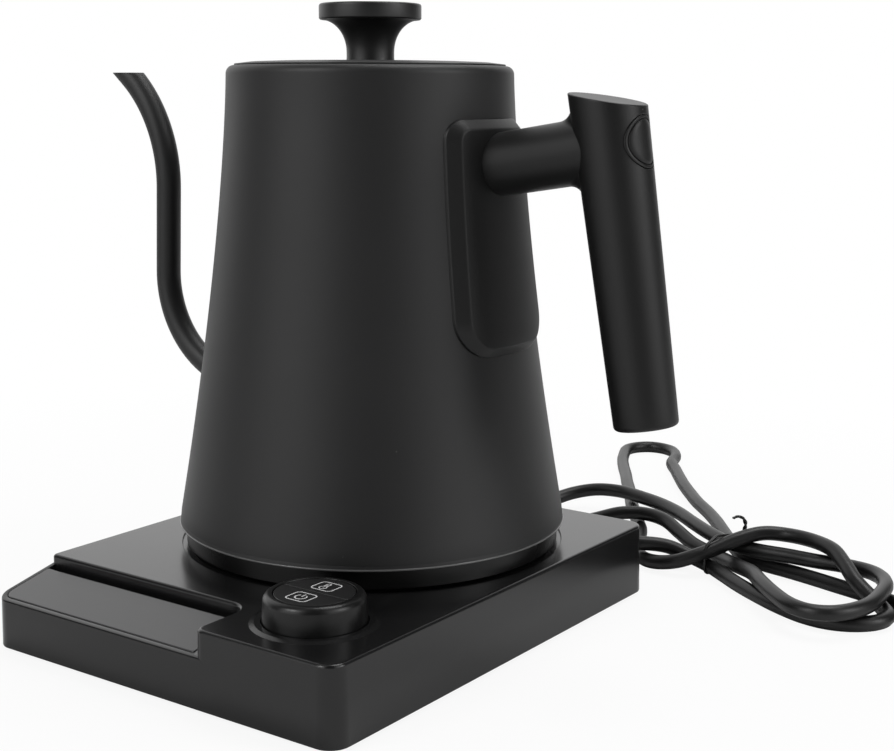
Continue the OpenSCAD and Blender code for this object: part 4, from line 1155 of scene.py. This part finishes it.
def make_world():
    """White where it is seen, a plain grey as light, and in gloss a white backdrop with a dimmer
    room in front of it: the room's lightness is a ramp over the direction's angle, and falls off
    overhead."""
    world = bpy.data.worlds.new("studio")
    bpy.context.scene.world = world
    world.use_nodes = True
    tree = world.node_tree
    tree.nodes.clear()
    out = tree.nodes.new("ShaderNodeOutputWorld")
    ray = tree.nodes.new("ShaderNodeTexCoord").outputs["Generated"]
    way = node(tree, "ShaderNodeSeparateXYZ", {0: ray}).outputs
    angle = maths(tree, "ARCTAN2", way["Y"], way["X"])
    share = node(tree, "ShaderNodeMapRange", {
        "Value": angle, "From Min": -math.pi, "From Max": math.pi})
    ramp = node(tree, "ShaderNodeValToRGB", {0: share.outputs[0]})
    stops = ramp.color_ramp.elements
    for turn, _ in ROOM[1:-1]:
        stops.new((turn + 180) / 360)
    for stop, (turn, value) in zip(stops, ROOM):
        stop.position = (turn + 180) / 360
        stop.color = (value, value, value, 1)
    high = node(tree, "ShaderNodeMapRange", {
        "Value": way["Z"], "From Min": 0.62, "From Max": 0.85, "To Min": 1.3, "To Max": 0.5})
    light, room, white = (
        node(tree, "ShaderNodeBackground", {"Color": colour, "Strength": strength})
        for colour, strength in (((1, 1, 1, 1), 0.4), (ramp.outputs[0], high.outputs[0]),
                                 ((1, 1, 1, 1), 1.0)))
    path = tree.nodes.new("ShaderNodeLightPath").outputs
    first = shader_mix(tree, path["Is Glossy Ray"], light, room)
    both = shader_mix(tree, seen_white(tree), first, white)
    feed(tree, out.inputs["Surface"], both.outputs[0])


# ---- Settings, operators and panel ----

COLOUR = dict(subtype="COLOR", min=0, max=1)


class KettleSizes(bpy.types.PropertyGroup):
    """Sizes of details that may be changed without changing the model's own sizes."""
    deck_edge: FloatProperty(
        name="Deck edge", description="Radius of the base's upper edge",
        default=0.0012, min=0.0004, max=0.002, unit="LENGTH")
    icon_line: FloatProperty(
        name="Icon line", description="Width of the printed lines on the buttons",
        default=0.0005, min=0.0002, max=0.0008, unit="LENGTH")


class KettleColours(bpy.types.PropertyGroup):
    """Main colours, which the finishes start from."""
    coating: FloatVectorProperty(
        name="Coating", description="Matte coating of body, lid and spout",
        default=(0.008, 0.008, 0.0082), **COLOUR)
    handle: FloatVectorProperty(
        name="Handle", description="Moulded plastic of the handle",
        default=(0.005, 0.005, 0.005), **COLOUR)
    base: FloatVectorProperty(
        name="Base", description="Moulded plastic of the base",
        default=(0.008, 0.008, 0.0082), **COLOUR)
    panel: FloatVectorProperty(
        name="Panel", description="Satin plate over the display",
        default=(0.045, 0.045, 0.046), **COLOUR)
    cord: FloatVectorProperty(
        name="Cord", description="Sheath of the mains cord and the plug",
        default=(0.006, 0.006, 0.006), **COLOUR)


class KETTLE_OT_stage(bpy.types.Operator):
    """Adds the camera, the floor and the light"""
    bl_idname = "kettle.stage"
    bl_label = "Stage"

    def execute(self, context):
        context.scene.view_settings.view_transform = "Standard"
        make_camera()
        make_floor()
        make_world()
        make_lamp("key", (-0.5, -1.6, 1.5), (0, 0, 0.12), (0.6, 0.6), 10)
        make_lamp("fill", (1.7, 0.4, 0.9), (0, 0, 0.12), (0.6, 0.8), 6)
        make_lamp("top", (0.2, 0.6, 1.9), (0, 0, 0.1), (0.9, 0.9), 14)
        return {"FINISHED"}


class KETTLE_OT_cord(bpy.types.Operator):
    """Adds the mains cord with its strain relief, tie and plug"""
    bl_idname = "kettle.cord"
    bl_label = "Mains cord"

    def execute(self, context):
        cord = make_cord()
        make_gland()
        tie, plug = make_tie(), make_plug()
        return {"FINISHED"}


class KETTLE_OT_base(bpy.types.Operator):
    """Adds the base's housing and its display panel"""
    bl_idname = "kettle.base"
    bl_label = "Base"

    def execute(self, context):
        make_base()
        make_panel()
        return {"FINISHED"}


class KETTLE_OT_dial(bpy.types.Operator):
    """Adds the dial, its two buttons and their signs"""
    bl_idname = "kettle.dial"
    bl_label = "Dial and buttons"

    def execute(self, context):
        make_dial()
        make_button(-1, "button_front", "power_button")
        make_button(1, "button_back", "temperature_button")
        make_icon("power", -1, "power_button")
        make_icon("thermometer", 1, "temperature_button")
        return {"FINISHED"}


class KETTLE_OT_body(bpy.types.Operator):
    """Adds the kettle's steel body and its foot"""
    bl_idname = "kettle.body"
    bl_label = "Body"

    def execute(self, context):
        make_body()
        make_foot()
        return {"FINISHED"}


class KETTLE_OT_spout(bpy.types.Operator):
    """Adds the gooseneck spout"""
    bl_idname = "kettle.spout"
    bl_label = "Spout"

    def execute(self, context):
        make_spout()
        return {"FINISHED"}


class KETTLE_OT_lid(bpy.types.Operator):
    """Adds the lid and its knob"""
    bl_idname = "kettle.lid"
    bl_label = "Lid"

    def execute(self, context):
        make_lid()
        make_knob()
        return {"FINISHED"}


class KETTLE_OT_handle(bpy.types.Operator):
    """Adds the handle with its cap and its pad"""
    bl_idname = "kettle.handle"
    bl_label = "Handle"

    def execute(self, context):
        make_handle()
        make_cap()
        make_pad()
        return {"FINISHED"}


class KETTLE_OT_inner(bpy.types.Operator):
    """Gives every part that keeps its own shape the finish of its slot"""
    bl_idname = "kettle.inner"
    bl_label = "Inner parts"

    def execute(self, context):
        for part in frame["record"]["subparts"]:
            if part["node"] not in NODES:
                raise RuntimeError(f"no part is named {part['node']}")
            for place in NODES[part["node"]].material_slots:
                place.material = finish_of(part["material_slot"])
        return {"FINISHED"}


OPERATORS = (KETTLE_OT_stage, KETTLE_OT_cord, KETTLE_OT_base, KETTLE_OT_dial, KETTLE_OT_body,
             KETTLE_OT_spout, KETTLE_OT_lid, KETTLE_OT_handle, KETTLE_OT_inner)


class KETTLE_PT_parts(bpy.types.Panel):
    """Lists the kettle's settings and one button for each group of pieces"""
    bl_label = "Gooseneck Kettle"
    bl_idname = "KETTLE_PT_parts"
    bl_space_type = "VIEW_3D"
    bl_region_type = "UI"
    bl_category = "Kettle"

    def draw(self, context):
        for group in (context.scene.kettle_sizes, context.scene.kettle_colours):
            for key in group.__annotations__:
                self.layout.prop(group, key)
        for operator in OPERATORS:
            self.layout.operator(operator.bl_idname)


CLASSES = (KettleSizes, KettleColours, *OPERATORS, KETTLE_PT_parts)


def register():
    for cls in CLASSES:
        bpy.utils.register_class(cls)
    bpy.types.Scene.kettle_sizes = PointerProperty(type=KettleSizes)
    bpy.types.Scene.kettle_colours = PointerProperty(type=KettleColours)


def unregister():
    del bpy.types.Scene.kettle_colours
    del bpy.types.Scene.kettle_sizes
    for cls in reversed(CLASSES):
        bpy.utils.unregister_class(cls)


def main():
    register()
    bpy.ops.kettle.stage()
    bpy.ops.kettle.cord()
    bpy.ops.kettle.base()
    bpy.ops.kettle.dial()
    bpy.ops.kettle.body()
    bpy.ops.kettle.spout()
    bpy.ops.kettle.lid()
    bpy.ops.kettle.handle()
    bpy.ops.kettle.inner()


if __name__ == "__main__":
    main()
